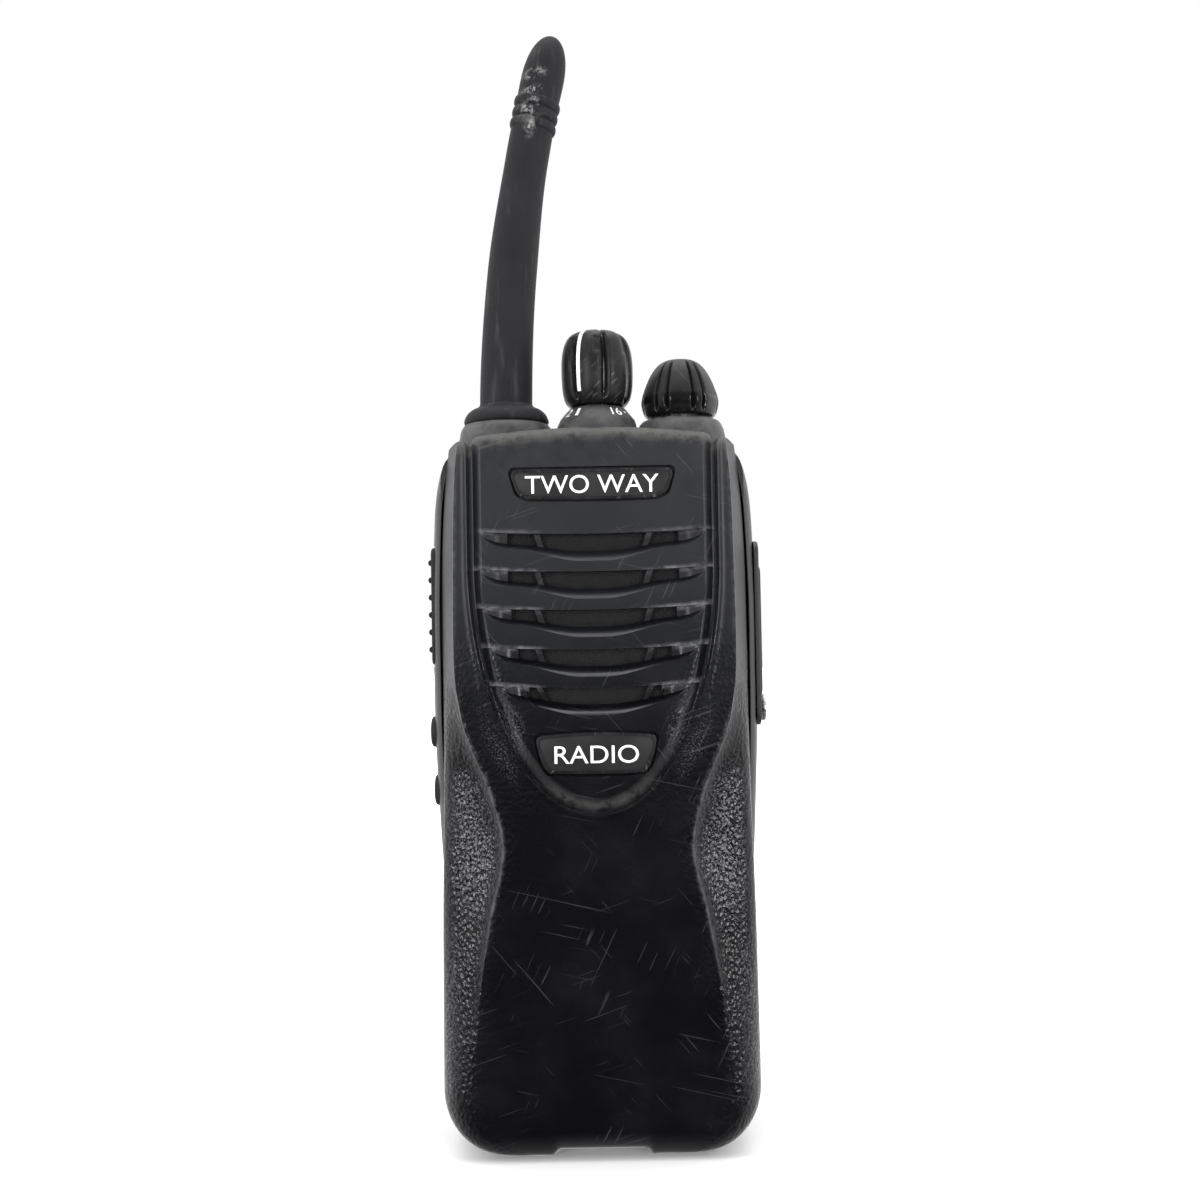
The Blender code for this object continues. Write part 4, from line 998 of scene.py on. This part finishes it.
def badges():
    """Each badge: its plate, a raised rim and its print."""
    for name, shape, arch, text, width, height in (
        ("top_badge", TOP_BADGE, 0.0, "TWO WAY", 22.0, 3.0),
        ("lower_badge", LOW_BADGE, LOW_BADGE_ARCH, "RADIO", 13.8, 2.9),
    ):
        outline = badge_outline(*shape, grow=-0.12, arch=arch)
        plate(f"{name}_plate", outline, PANEL_Y + 0.18, PANEL_Y + 0.75, BADGE, "radio", (name,), bevel=0.22)
        outer = badge_outline(*shape, grow=-0.1, arch=arch)
        inner = badge_outline(*shape, grow=-0.62, arch=arch)
        rim = plate(f"{name}_rim", outer, PANEL_Y + 0.06, PANEL_Y + 0.5, KNOB, "radio", bevel=0.12)
        cut(rim, plate(f"{name}_rim_hole", inner, PANEL_Y - 1, PANEL_Y + 1, KNOB))
        bake(rim)
        middle_z = (shape[1] + shape[2]) / 2 + 0.05
        on_plate = flat_on_front(middle_z, PANEL_Y + 0.17)
        lettering(f"{name}_print", text, width, height, on_plate, WHITE, "radio")


# ---------------------------------------------------------------- antenna and its collar

COLLAR_Z = box_mm("antenna_collar")[0].z
ROD_LOW, ROD_HIGH = box_mm("antenna_rod")
ROD_Z = ROD_LOW.z
ROD_TIP_Z = ROD_HIGH.z + 1.8
ROD_ROOT_R = 4.6
ROD_FLARE = 2.9
ROD_RINGS = (176.2, 178.1, 180.0)
ROD_CAP = 8.4


def rod_bend(z):
    """Sideways set of the antenna's middle line at a height."""
    rise = max(0.0, z - 127.0)
    return 0.018 * rise + 0.0019 * rise**2


def rod_radius(z):
    """Slow taper, three rings near the tip, and a bullet-shaped end."""
    taper = ROD_ROOT_R - 0.27 * smooth((z - 127) / 27) - 0.53 * smooth((z - 150) / 20)
    swell = sum(0.42 * math.sqrt(max(0.0, 1 - ((z - c) / 0.8) ** 2)) for c in ROD_RINGS)
    swell -= 0.12 * bell(z, sum(ROD_RINGS) / 3, 3.2)
    past = max(0.0, (z - (ROD_TIP_Z - ROD_CAP)) / ROD_CAP)
    return (taper + swell) * max(0.0, 1 - past**2.3) ** 0.5


def rod_ring(z, radius, count=72):
    """A ring of the rod, square to its bent middle line."""
    lean = math.atan(rod_bend(z + 0.05) / 0.05 - rod_bend(z) / 0.05)
    points = []
    for i in range(count):
        a = math.tau * i / count
        u, v = radius * math.cos(a), radius * math.sin(a)
        x = ANTENNA.x + rod_bend(z) + u * math.cos(lean)
        points.append((x, ANTENNA.y + v, z - u * math.sin(lean)))
    return points


# Where the rod is scuffed: height, its spread, place across, its spread, strength.
SCUFFS = [
    (184.6, 0.8, -1.3, 1.3, 1.1),
    (181.7, 0.6, -1.2, 1.5, 0.75),
    (178.6, 1.7, -0.9, 1.8, 0.55),
    (175.0, 1.1, -0.1, 0.7, 0.7),
]


def rod_scuffs(point):
    """How scuffed the rod is at a point: only on its front, at the places in SCUFFS."""
    across = point.x - ANTENNA.x - rod_bend(point.z)
    facing = smooth((ANTENNA.y - point.y) / 2)
    worn = sum(s * bell(point.z, z, dz) * bell(across, x, dx) for z, dz, x, dx, s in SCUFFS)
    return facing * min(1.0, worn)


def antenna():
    """The rubber rod on its flared foot, and the collar that it stands in."""
    root = [(ROD_Z, 7.25), (ROD_Z + 0.1, 7.35)]
    for a in (k * math.pi / 20 for k in range(1, 10)):
        root.append((ROD_Z + ROD_FLARE * math.sin(a), ROD_ROOT_R + ROD_FLARE * math.cos(a)))
    root += [(ROD_Z + 3.1, ROD_ROOT_R + 0.35), (ROD_Z + 3.4, ROD_ROOT_R + 0.05)]
    heights = steps(127.0, 174.0, 30) + steps(174.0, 182.4, 90) + steps(182.4, ROD_TIP_Z - 0.05, 44)
    loops = [rod_ring(z, 2.8) for z in (150.0, ROD_Z)]
    loops += [rod_ring(z, r) for z, r in root]
    loops += [rod_ring(z, rod_radius(z)) for z in heights] + [rod_ring(ROD_TIP_Z - 0.02, 0.25)]
    rings("antenna_rubber", loops, ROD, "antenna", ("antenna_rod",), rod_scuffs)
    profile = [(4.8, 0), (8.25, 0), (8.35, 0.3), (8.35, 3.0), (8.2, 3.6)]
    profile += [(8.2 - 0.75 * t**2, 3.6 + 1.95 * t) for t in (0.25, 0.5, 0.75, 1.0)]
    profile += [(7.2, 5.7), (7.0, 5.68), (6.95, 4.75), (4.8, 4.7)]
    collar("antenna_ring", "antenna_collar", ANTENNA, profile)


def collar(name, node, centre, profile):
    """A ring on top of the case, from its radii and its heights above its foot."""
    lifted = [(r, COLLAR_Z + h) for r, h in profile]
    return turned(name, lifted, (centre.x, centre.y, 0), COLLAR, "radio", (node,), closed=True)


# ---------------------------------------------------------------- knobs


def front_angle(degrees_right):
    """Angle about Z of a direction that many degrees to the right of the front."""
    return math.radians(degrees_right - 90)


def turn_between(a, b):
    """Smallest angle between two directions."""
    return abs((a - b + math.pi) % math.tau - math.pi)


CHANNEL_VALLEYS = [front_angle(13.8 + 360 / 7 * k) for k in range(7)]
CHANNEL_POINTER = front_angle(-29.6)
POINTER_HALF_WIDTH = 0.31


def channel_radius(radius, z, angle):
    """Seven rounded lobes with steep valleys, and a pressed-in flat near each crown."""
    near = min(turn_between(angle, v) for v in CHANNEL_VALLEYS)
    share = smooth((z - 125.9) / 2.2) * (1 - 0.35 * smooth((z - 138.3) / 1.0))
    valley = bell(near, 0, math.radians(5)) + 0.25 * bell(near, 0, math.radians(13))
    radius -= 0.85 * share * valley
    right_of = min(turn_between(angle, v - math.radians(11)) for v in CHANNEL_VALLEYS)
    if right_of >= math.radians(12):
        return radius
    away = math.degrees(near)
    pressed = smooth((away - 6) / 3) * (1 - smooth((away - 17) / 3))
    return radius - 0.30 * pressed * smooth((z - 134.6) / 0.3) * (1 - smooth((z - 137.4) / 0.5))


VOLUME_RIBS = [front_angle(27 + 60 * k) for k in range(6)]
VOLUME_CREASE_Z = 127.6
VOLUME_GROOVE = 9.5  # degrees to each side of a rib


def volume_radius(radius, z, angle):
    """Six broad flats with narrow ribs between them, each set off by fine V grooves."""
    near = min(turn_between(angle, r) for r in VOLUME_RIBS)
    share = smooth((z - 124.0) / 1.6) * (1 - 0.75 * smooth((z - 132.6) / 1.3))
    groove = bell(near, math.radians(VOLUME_GROOVE), math.radians(2.6))
    off_flat = math.radians(30) - near
    flat = 1 - math.cos(math.radians(18)) / math.cos(min(abs(off_flat), math.radians(18)))
    deeper = 1 + 0.5 * smooth((VOLUME_CREASE_Z - z) / 1.0)
    return radius - share * (0.62 * groove * deeper + radius * flat * 0.6)


def knob(name, centre, profile, shape, bore_top, body, node, paint):
    """A knob as a skin of rings: out of its bore, up the outside, and over the crown."""
    count = 210
    angles = [math.tau * i / count for i in range(count)]

    def ring(radius, z, plain_ring=False):
        points = []
        for a in angles:
            r = radius if plain_ring else max(0.2, shape(radius, z, a))
            points.append((centre.x + r * math.cos(a), centre.y + r * math.sin(a), z))
        return points

    outside = through([(r, z, 0) for r, z in profile], 6)
    loops = [ring(3.3, bore_top, True), ring(3.3, profile[0][1], True)]
    loops += [ring(r, z) for r, z, _ in outside]
    return rings(name, loops, KNOB, body, (node,), paint, sharp=28)


def channel_knob():
    """The channel knob and the white line painted up one of its lobes."""
    profile = [(4.55, 125.9), (5.15, 126.2), (5.85, 127.3), (6.25, 129.0), (6.4, 131.5), (6.35, 134.0)]
    profile += [(6.0, 136.2), (5.3, 137.8), (4.3, 138.7), (2.9, 139.2), (1.2, 139.3), (0.3, 139.25)]
    bore = box_mm("channel_shaft")[1].z + 0.3

    def paint(point):
        angle = math.atan2(point.y - CHANNEL.y, point.x - CHANNEL.x)
        near = min(turn_between(angle, v) for v in CHANNEL_VALLEYS)
        return 0.8 * bell(near, 0, math.radians(6)) + 0.25 * smooth((127.5 - point.z) / 1.5)

    knob("channel_cap", CHANNEL, profile, channel_radius, bore, "channel_control", "channel_knob", paint)
    line = through([(r, z, 0) for r, z in profile[2:]], 6)
    loops = []
    for r, z, _ in line:
        if z < 127.9 or r < 3.4:
            continue
        quad = []
        for side, lift in ((-1, -0.5), (1, -0.5), (1, 0.05), (-1, 0.05)):
            a = CHANNEL_POINTER + side * POINTER_HALF_WIDTH / r
            x, y = CHANNEL.x + (r + lift) * math.cos(a), CHANNEL.y + (r + lift) * math.sin(a)
            quad.append((x, y, z + 0.12 * smooth((z - 136) / 2)))
        loops.append(quad)
    rings("channel_pointer", loops, WHITE, "channel_control")


def volume_knob():
    """The volume knob, its grooves and the band under its crease polished by fingers."""
    profile = [(5.7, 123.7), (6.2, 124.1), (6.6, 125.2), (6.8, 126.4), (6.65, 127.4), (6.35, 128.4)]
    profile += [(5.75, 130.0), (4.9, 131.7), (3.9, 133.0), (2.6, 133.8), (1.0, 134.05), (0.3, 134.0)]
    bore = box_mm("volume_shaft")[1].z + 0.3

    def paint(point):
        angle = math.atan2(point.y - VOLUME.y, point.x - VOLUME.x)
        near = min(turn_between(angle, r) for r in VOLUME_RIBS)
        groove = bell(near, math.radians(VOLUME_GROOVE), math.radians(3))
        return min(1.0, 0.85 * smooth((VOLUME_CREASE_Z - point.z) / 0.5) + 0.7 * groove)

    knob("volume_cap", VOLUME, profile, volume_radius, bore, "volume_control", "volume_knob", paint)


def dial_radius(z):
    """Radius of the channel dial's cone at a height."""
    points = [(121.4, 7.4), (123.4, 6.7), (125.6, 4.9)]
    for (z0, r0), (z1, r1) in zip(points, points[1:]):
        if z <= z1:
            return mix(r0, r1, (z - z0) / (z1 - z0))
    return points[-1][1]


def channel_dial():
    """The dial's cone, cut clear of the volume collar, with its numbers and the dots between them."""
    profile = [(5.0, 0), (7.4, 0), (7.5, 0.3), (7.5, 3.8), (7.4, 4.2), (7.1, 5.1), (6.7, 6.0)]
    profile += [(6.55, 6.25), (5.05, 8.1), (4.85, 8.28), (4.5, 8.2), (5.0, 7.0)]
    dial = collar("channel_cone", "channel_dial", CHANNEL, profile)
    cut(dial, bore("dial_bite", 8.05, (VOLUME.x, VOLUME.y, 110), depth=20, segments=96))
    bake(dial)
    for number in range(1, 17):
        middle_angle = front_angle(-33.75 - 19.5 * (number - 1))

        def place(u, v, w, middle_angle=middle_angle):
            z = 124.45 + v * 0.80
            r = dial_radius(z) + 0.10 + w
            a = middle_angle + u / 5.8
            return Vector((CHANNEL.x + r * math.cos(a), CHANNEL.y + r * math.sin(a), z))

        if number % 2 and number > 1:
            mark, width, height = ".", 0.4, 0.4
        else:
            mark, height = str(number), 1.75
            width = 0.55 if number == 1 else 0.95 * len(mark)
        if turn_between(middle_angle, front_angle(90)) > math.radians(32):
            lettering(f"dial_mark_{number}", mark, width, height, place, WHITE, "radio", 0.1)


def volume_collar():
    """The plain ring under the volume knob."""
    profile = [(5.0, 0), (7.75, 0), (7.85, 0.3), (7.85, 3.0), (7.6, 4.3), (7.2, 5.2)]
    profile += [(6.7, 5.75), (6.0, 6.0), (5.0, 6.05)]
    collar("volume_ring", "volume_collar", VOLUME, profile)


# ---------------------------------------------------------------- rear case and side controls

BODY_BACK_Y = -5.0
HEAD_LINE_PITCH = 6.3
SCREW_KNURLS = 18
PTT_RIB_PITCH = 2.95
TOP_Z = REAR_HIGH.z
HEAD_Z = 97.5
PACK_BACK_Y = box_mm("battery_cover")[1].y
PTT = middle("ptt_button")
SIDE_Y = PTT.y
KEYS = {"side_key_upper": "upper_key", "side_key_lower": "lower_key"}
COVER_LOW, COVER_HIGH = box_mm("accessory_cover")
SCREW = middle("accessory_screw")
CASE_SCREWS = [middle(f"case_screw_{k}") for k in (1, 2, 3, 4)]
LED = middle("led_lens")

# The rear case's flanks curve in to meet the front case: depth, and how far in they are there.
REAR_RIM = [(PARTING_Y + 0.3, 1.95), (-14.7, 1.5), (-14.3, 1.1), (-13.6, 0.7), (-12.6, 0.35)]
REAR_RIM += [(-11.4, 0.1), (-10.2, 0.0), (-7.0, 0.0), (-5.4, 0.0), (-5.1, 0.15), (BODY_BACK_Y, 0.4)]
# The head is drawn in towards its top: height, and how far in.
HEAD_SHOULDER = [(HEAD_Z, 0.0), (112.6, 0.0), (113.8, 0.15), (114.8, 0.45), (115.6, 0.85)]
HEAD_SHOULDER += [(116.3, 1.4), (116.75, 2.0), (TOP_Z - 0.02, 2.8)]


def rear_outline(inset=0.0):
    """Outline of the rear case seen from the front."""
    right = arc((15.2, 10.6), 10.6 - inset, -90, 0, 18)
    side = [(25.8, 10.6), (26.0, 40), (26.6, 50), (27.1, 60), (27.5, 70), (27.6, 82), (27.6, 93), (27.2, 105)]
    side += [(26.8, 110), (26.1, 113.6), (25.3, 115.6), (24.2, TOP_Z)]
    right += [(x - inset, min(z, TOP_Z - inset)) for x, z in through(side)[1:]]
    return mirrored(right)


def head_plan(inset=0.0):
    """Outline of the head seen from above, back to the battery pack's back face."""
    right = [(25.6 - inset, PARTING_Y + 0.4 + inset * 0.2), (25.8 - inset, -4.0)]
    right += arc((20.3, PACK_BACK_Y - 5.5), 5.5 - inset, 0, 90, 16)
    return right + [(-x, y) for x, y in reversed(right)]


def rear_head():
    """The full-depth head, its top drawn in and rounded like the front case's shoulders."""
    loops = [[(x, y, z) for x, y in head_plan(inset)] for z, inset in HEAD_SHOULDER]
    return rings("rear_head", loops, REAR)


def side_window(name, z, half_y, half_z, side=-1, corner=0.6):
    """Cutter for a hole through one flank of the rear case."""
    low, high = sorted((side * 24.0, side * 29.5))
    outline = [(y + SIDE_Y, h) for y, h in rounded(half_y, z - half_z, z + half_z, corner, 6)]
    return prism(name, outline, "X", low, high, REAR)


def rear_case():
    """Rear shell and head as one moulding, hollow, with its feet, windows and bores."""
    loops = [[(x, y, z) for x, z in rear_outline(inset)] for y, inset in REAR_RIM]
    case = rings("rear_shell", loops, REAR, "radio", ("rear_case",))
    join(case, rear_head())
    for side in (-1, 1):
        low, high = (side * 16.6 - 2.7, -14.6, 0.0), (side * 16.6 + 2.7, -6.0, 2.4)
        join(case, block(f"rear_foot_{side}", low, high, REAR, bevel=0.4))
    cutters = [
        prism("rear_hollow", rear_outline(1.6), "Y", PARTING_Y - 1, BODY_BACK_Y - WALL, REAR),
        prism("head_hollow", rounded(23.4, -14.0, 10.4, 4.0), "Z", HEAD_Z + 1.7, TOP_Z - 1.7, REAR),
        side_window("ptt_window", PTT.z, 3.55, 10.35, corner=1.4),
        prism("cover_pocket", cover_outline(0.3), "X", 27.0, 29.5, REAR),
        side_window("jack_window", 82.4, 3.0, 6.2, side=1),
        block("contact_window", (-9, -8, 85.4), (9, -4, 90.6), REAR),
        block("latch_window", (-6.0, -14.2, -1), (6.0, -4, 3.2), REAR),
        block("catch_window", (6.6, -12.8, -1), (13.8, -8.2, 3.2), REAR),
        bore("thumb_bore", 1.6, (25, SIDE_Y, SCREW.z), "X"),
        bore("led_bore", 1.5, (LED.x, LED.y, TOP_Z - 3)),
    ]
    for node in KEYS:
        cutters.append(bore(f"{node}_window", 3.0, (-31, SIDE_Y, middle(node).z), "X", 7, 48))
    for name, at, radius in (("antenna", ANTENNA, 4.4), ("channel", CHANNEL, 4.6), ("volume", VOLUME, 4.6)):
        cutters.append(bore(f"{name}_bore", radius, (at.x, at.y, TOP_Z - 3), segments=48))
    seat = [(0, -3), (1.3, -3), (1.3, 0.4), (2.3, 0.4), (2.3, 2.0), (0, 2.0)]
    for k, screw in enumerate(CASE_SCREWS):
        at = (screw.x, BODY_BACK_Y - 1.5, screw.z)
        cutters.append(turned(f"screw_seat_{k}", seat, at, REAR, axis="Y", segments=32))
    for k in range(-3, 4):
        x = k * HEAD_LINE_PITCH
        low, high = (x - 0.35, PACK_BACK_Y - 0.5, 99.5), (x + 0.35, PACK_BACK_Y + 1, 112.5)
        cutters.append(block(f"head_line_{k}", low, high, REAR))
    cut(case, *cutters)
    bake(case)


def cover_outline(grow=0.0):
    """Outline of the jack cover, seen from the side."""
    half = (COVER_HIGH.y - COVER_LOW.y) / 2 + grow
    outline = rounded(half, COVER_LOW.z - grow, COVER_HIGH.z + grow, 2.2 + grow, 12)
    return [(y + SIDE_Y, z) for y, z in outline]


def accessory_cover():
    """The jack cover with its raised pad, its finger notch and the hole for its screw."""
    outline, outside = cover_outline(), COVER_HIGH.x
    covers = ("accessory_cover",)
    cover = prism("cover_plate", outline, "X", COVER_LOW.x, outside, REAR, "jack_cover", covers, 0.3)
    pad = [(mix(y, SIDE_Y, 0.28), mix(z, 87.0, 0.30)) for y, z in outline]
    join(cover, prism("cover_pad", pad, "X", outside - 0.4, outside + 0.35, REAR, bevel=0.3))
    notch = (outside - 0.25, SIDE_Y - 1.6, 98.4), (outside + 1, SIDE_Y + 1.6, 99.0)
    hole = bore("cover_bore", 1.5, (26, SIDE_Y, SCREW.z), "X", 5)
    cut(cover, hole, block("cover_notch", *notch, REAR))
    bake(cover)
    cover_screw()


def cover_screw():
    """Thumb screw with a knurled, slotted head."""
    head = [(0, 0), (1.0, 0), (1.0, 3.5), (2.25, 3.5), (2.3, 3.6), (2.3, 3.95)]
    head += [(2.1, 4.15), (1.4, 4.2), (0, 4.2)]
    at, covers = (24.9, SIDE_Y, SCREW.z), ("accessory_screw",)
    screw = turned("cover_screw_head", head, at, STEEL, "cover_screw", covers, axis="X", segments=48)
    slot = (28.7, SIDE_Y - 3, SCREW.z - 0.3), (31, SIDE_Y + 3, SCREW.z + 0.3)
    cut(screw, block("screw_slot", *slot, STEEL))
    for k in range(SCREW_KNURLS):
        a = math.tau * k / SCREW_KNURLS
        y, z = SIDE_Y + 2.38 * math.cos(a), SCREW.z + 2.38 * math.sin(a)
        cut(screw, bore(f"knurl_{k}", 0.16, (28.2, y, z), "X", 2, 8))
    bake(screw)


def side_keys():
    """The ribbed talk key and the two dished keys under it."""
    low, high = box_mm("ptt_button")
    base = [(y + SIDE_Y, z) for y, z in rounded((high.y - low.y) / 2, low.z, high.z, 1.3, 8)]
    pad = prism("ptt_pad", base, "X", high.x, low.x + 0.5, KEY, "ptt_key", ("ptt_button",), 0.5)
    for k in range(6):
        z = PTT.z + (k - 2.5) * PTT_RIB_PITCH
        crest = arc((low.x + 0.55, z), 0.55, 90, 270, 8)
        rib = [(low.x + 1.0, z + 0.6)] + crest + [(low.x + 1.0, z - 0.6)]
        join(pad, prism(f"ptt_rib_{k}", rib, "Y", SIDE_Y - 2.4, SIDE_Y + 2.4, KEY))
    bake(pad)
    for node, body in KEYS.items():
        low, high = box_mm(node)
        length = high.x - low.x
        z = middle(node).z
        crown = [(2.7, 0.7), (2.55, 0.25), (2.2, 0.04), (1.9, 0)]
        crown += [(1.6, 0.1), (1.2, 0.3), (0.6, 0.38), (0, 0.4)]
        profile = [(0, 0), (2.7, 0)] + [(r, down - length) for r, down in crown]
        turned(f"{node}_pad", profile, (high.x, SIDE_Y, z), KEY, body, (node,), axis="X", segments=64)


# ---------------------------------------------------------------- battery pack and belt clip

CLIP_SCREWS_X = (-5.5, 5.5)
CLIP_SCREWS_Z = 77.0


def pack_outline(inset=0.0):
    """Outline of the battery pack seen from behind."""
    right = arc((15.2, 10.6), 10.6 - inset, -90, 0, 18)
    right += arc((24.3, 95.6), 1.5 - inset, 0, 90, 6) if inset < 1 else [(25.8 - inset, 97.1 - inset)]
    return mirrored(right)


def battery_pack():
    """The pack's hollow shell with its side grips and label, and the lid over its cells."""
    shell, covers = pack_outline(), ("battery_cover",)
    cover = prism("pack_shell", shell, "Y", -3.6, PACK_BACK_Y, REAR, "battery_pack", covers, 2.6, segments=8)
    cutters = [prism("cell_bay", pack_outline(WALL), "Y", -6, 10.8, REAR)]
    for k in range(7):
        z = 12.0 + 2.6 * k
        for side in (-1, 1):
            low, high = sorted((side * 24.9, side * 27.0))
            cutters.append(block(f"grip_{k}_{side}", (low, -1.0, z - 0.5), (high, 8.0, z + 0.5), REAR))
    for k, x in enumerate(CLIP_SCREWS_X):
        cutters.append(bore(f"clip_hole_{k}", 1.3, (x, 9.6, CLIP_SCREWS_Z), "Y"))
    label = rounded(19.0, 9.0, 34.0, 1.5, 6)
    cutters.append(prism("label_seat", label, "Y", PACK_BACK_Y - 0.2, PACK_BACK_Y + 1, REAR))
    cut(cover, *cutters)
    bake(cover)
    sticker = rounded(18.7, 9.3, 33.7, 1.3, 8)
    near, far = PACK_BACK_Y - 0.35, PACK_BACK_Y - 0.12
    prism("pack_label", sticker, "Y", near, far, BADGE, "battery_pack", bevel=0.05)
    near, covers = BODY_BACK_Y + 0.3, ("battery_lid",)
    lid = prism("pack_lid", shell, "Y", near, -3.9, REAR, "battery_pack", covers, 0.25, "low")
    cut(lid, block("latch_pocket", (-6.4, -6, -1), (6.4, -3, 2.9), REAR))
    for x, name in ((-6.0, "minus"), (6.0, "plus")):
        cut(lid, block(f"{name}_window", (x - 1.9, -6, 85.4), (x + 1.9, -3, 90.6), REAR))
    bake(lid)


def belt_clip():
    """The bracket with its two ears, and the arm between them."""
    low, high = box_mm("clip_bracket")
    pin = middle("clip_pin")
    outline, covers = rounded(11.0, low.z, high.z, 3.0), ("clip_bracket",)
    bracket = prism("clip_plate", outline, "Y", low.y, 13.6, REAR, "battery_pack", covers, 0.3)
    for side in (-1, 1):
        ear = [(13.0, 82.5), (17.0, 83.4)] + arc((pin.y, pin.z), 2.6, -45, 80, 14) + [(13.0, 90.8)]
        left, right = side * 10.0 - 0.8, side * 10.0 + 0.8
        made = prism(f"clip_ear_{side}", ear, "X", left, right, REAR, bevel=0.2, rims="both", segments=2)
        join(bracket, made)
    cut(bracket, bore("ear_hole", 1.3, (-12, pin.y, pin.z), "X", 24))
    for k, x in enumerate(CLIP_SCREWS_X):
        cut(bracket, bore(f"bracket_hole_{k}", 1.35, (x, 10.6, CLIP_SCREWS_Z), "Y"))
    bake(bracket)
    clip_arm(pin)


def clip_arm(pin):
    """The sprung arm: a lever on a knuckle round its pin, with a curled tip and a lined thumb pad."""
    outside = [(18.6, 97.6), (19.6, 92.0), (20.1, 84.0), (20.4, 70.0), (20.4, 50.0), (19.0, 43.0)]
    outside.append((14.0, 37.4))
    inside = [(12.7, 37.0), (12.5, 38.4), (17.3, 44.6), (18.6, 51.0), (18.6, 70.0), (18.3, 82.6)]
    knuckle = arc((pin.y, pin.z), 2.4, -75, -270, 20)
    outline = through(outside, 5) + through(inside, 5) + knuckle + [(17.0, 97.4)]
    arm = prism("clip_lever", outline, "X", -8.7, 8.7, REAR, "belt_clip", ("clip_arm",), 0.5, "both")
    cut(arm, bore("arm_bore", 1.35, (-12, pin.y, pin.z), "X", 24))
    cut(arm, block("spring_bay", (-3.2, 12, 83.6), (3.2, 18.9, 90.2), REAR))
    for k in range(5):
        z = 90.2 + 1.5 * k
        cut(arm, block(f"thumb_line_{k}", (-6.6, 19.2, z - 0.3), (6.6, 21.5, z + 0.3), REAR))
    bake(arm)


# ---------------------------------------------------------------- camera, light and floor


EYE = (1.0, PANEL_Y - 230.0, 83.0)  # millimetres
EYE_UP = 2.1  # degrees above level
EYE_LENS = 42.1  # millimetres, on a 36 mm wide sensor
EYE_ROLL = -1.04  # degrees


def camera():
    """A camera at the radio's middle, tilted slightly up, as the photograph was taken."""
    data = bpy.data.cameras.new("camera")
    data.lens = EYE_LENS
    data.sensor_width = 36.0
    data.clip_start = 0.01
    obj = bpy.data.objects.new("camera", data)
    bpy.context.scene.collection.objects.link(obj)
    pitch = Matrix.Rotation(math.radians(90 + EYE_UP), 4, "X")
    roll = Matrix.Rotation(math.radians(EYE_ROLL), 4, "Z")
    obj.matrix_world = Matrix.Translation(Vector(EYE) * MM) @ pitch @ roll
    bpy.context.scene.camera = obj


def area_light(name, place, target, size, power):
    """A rectangular light, in metres and watts, turned to face a target."""
    data = bpy.data.lights.new(name, "AREA")
    data.shape = "RECTANGLE"
    data.size, data.size_y = size
    data.energy = power
    obj = bpy.data.objects.new(name, data)
    obj.location = place
    obj.rotation_euler = (Vector(target) - Vector(place)).to_track_quat("-Z", "Y").to_euler()
    bpy.context.scene.collection.objects.link(obj)


SIDE_LIGHT_TURN = 33  # degrees round from the front
SIDE_LIGHT_Z = 0.20


def lights():
    """A softbox overhead and a tall one each side of the camera."""
    aim = (0, 0, 0.08)
    area_light("overhead", (0, -0.05, 1.15), aim, (0.9, 0.7), 6.0)
    for side in (-1, 1):
        turn = math.radians(side * SIDE_LIGHT_TURN)
        place = (math.sin(turn), -math.cos(turn), SIDE_LIGHT_Z)
        area_light(f"side_light_{side}", place, aim, (0.16, 0.30), 3.2)
    surroundings()


def surroundings():
    """Pale all round, except in front, where it is dark below the horizon and grey above it."""
    n = Nodes("studio", world=True)
    bpy.context.scene.world = n.owner
    across, up = n.axis(1), n.axis(2)
    below = n.ramp(up, -0.90, -0.50, 0.28, 0.02)
    above = n.ramp(up, -0.12, 0.03, 0.0, 0.20)
    overhead = n.ramp(up, 0.45, 0.85, 0.0, 0.65)
    in_front = n.math("MULTIPLY", n.sum(below, above, overhead), n.ramp(across, -0.80, -0.10, 1.0, 0.0))
    all_round = n.sum(in_front, n.ramp(across, -0.80, -0.10, 0.0, 1.5))
    level = n.math("MULTIPLY", all_round, n.ramp(up, -0.90, -0.25, 0.25, 1.0))
    seen = n.node("ShaderNodeLightPath").outputs["Is Camera Ray"]
    unseen = n.math("SUBTRACT", 1.0, seen)
    n.set("Color", (1, 1, 1, 1))
    n.set("Strength", n.sum(n.math("MULTIPLY", level, unseen), seen))


def floor():
    """Pale floor that shows the contact shadow near the radio and is evenly white further off."""
    bm = bmesh.new()
    bmesh.ops.create_grid(bm, x_segments=1, y_segments=1, size=6000)
    n = Nodes("floor")
    n.set("Base Color", n.blend(n.noise(3.0), (0.86, 0.86, 0.87), (0.89, 0.89, 0.90)))
    n.set("Roughness", 0.9)
    distance = n.node("ShaderNodeVectorMath", {"operation": "LENGTH"}, i0=n.coords).outputs["Value"]
    n.set("Emission Color", (1, 1, 1, 1))
    n.set("Emission Strength", n.ramp(distance, 0.05, 0.45, 0.12, 0.95))
    obj = object_of("floor", bm, n.owner, None)
    obj.visible_glossy = False


# ---------------------------------------------------------------- build

dress_nodes()
front_case()
badges()
antenna()
channel_knob()
volume_knob()
channel_dial()
volume_collar()
rear_case()
accessory_cover()
side_keys()
battery_pack()
belt_clip()
camera()
lights()
floor()
bpy.context.scene.view_settings.view_transform = "Standard"
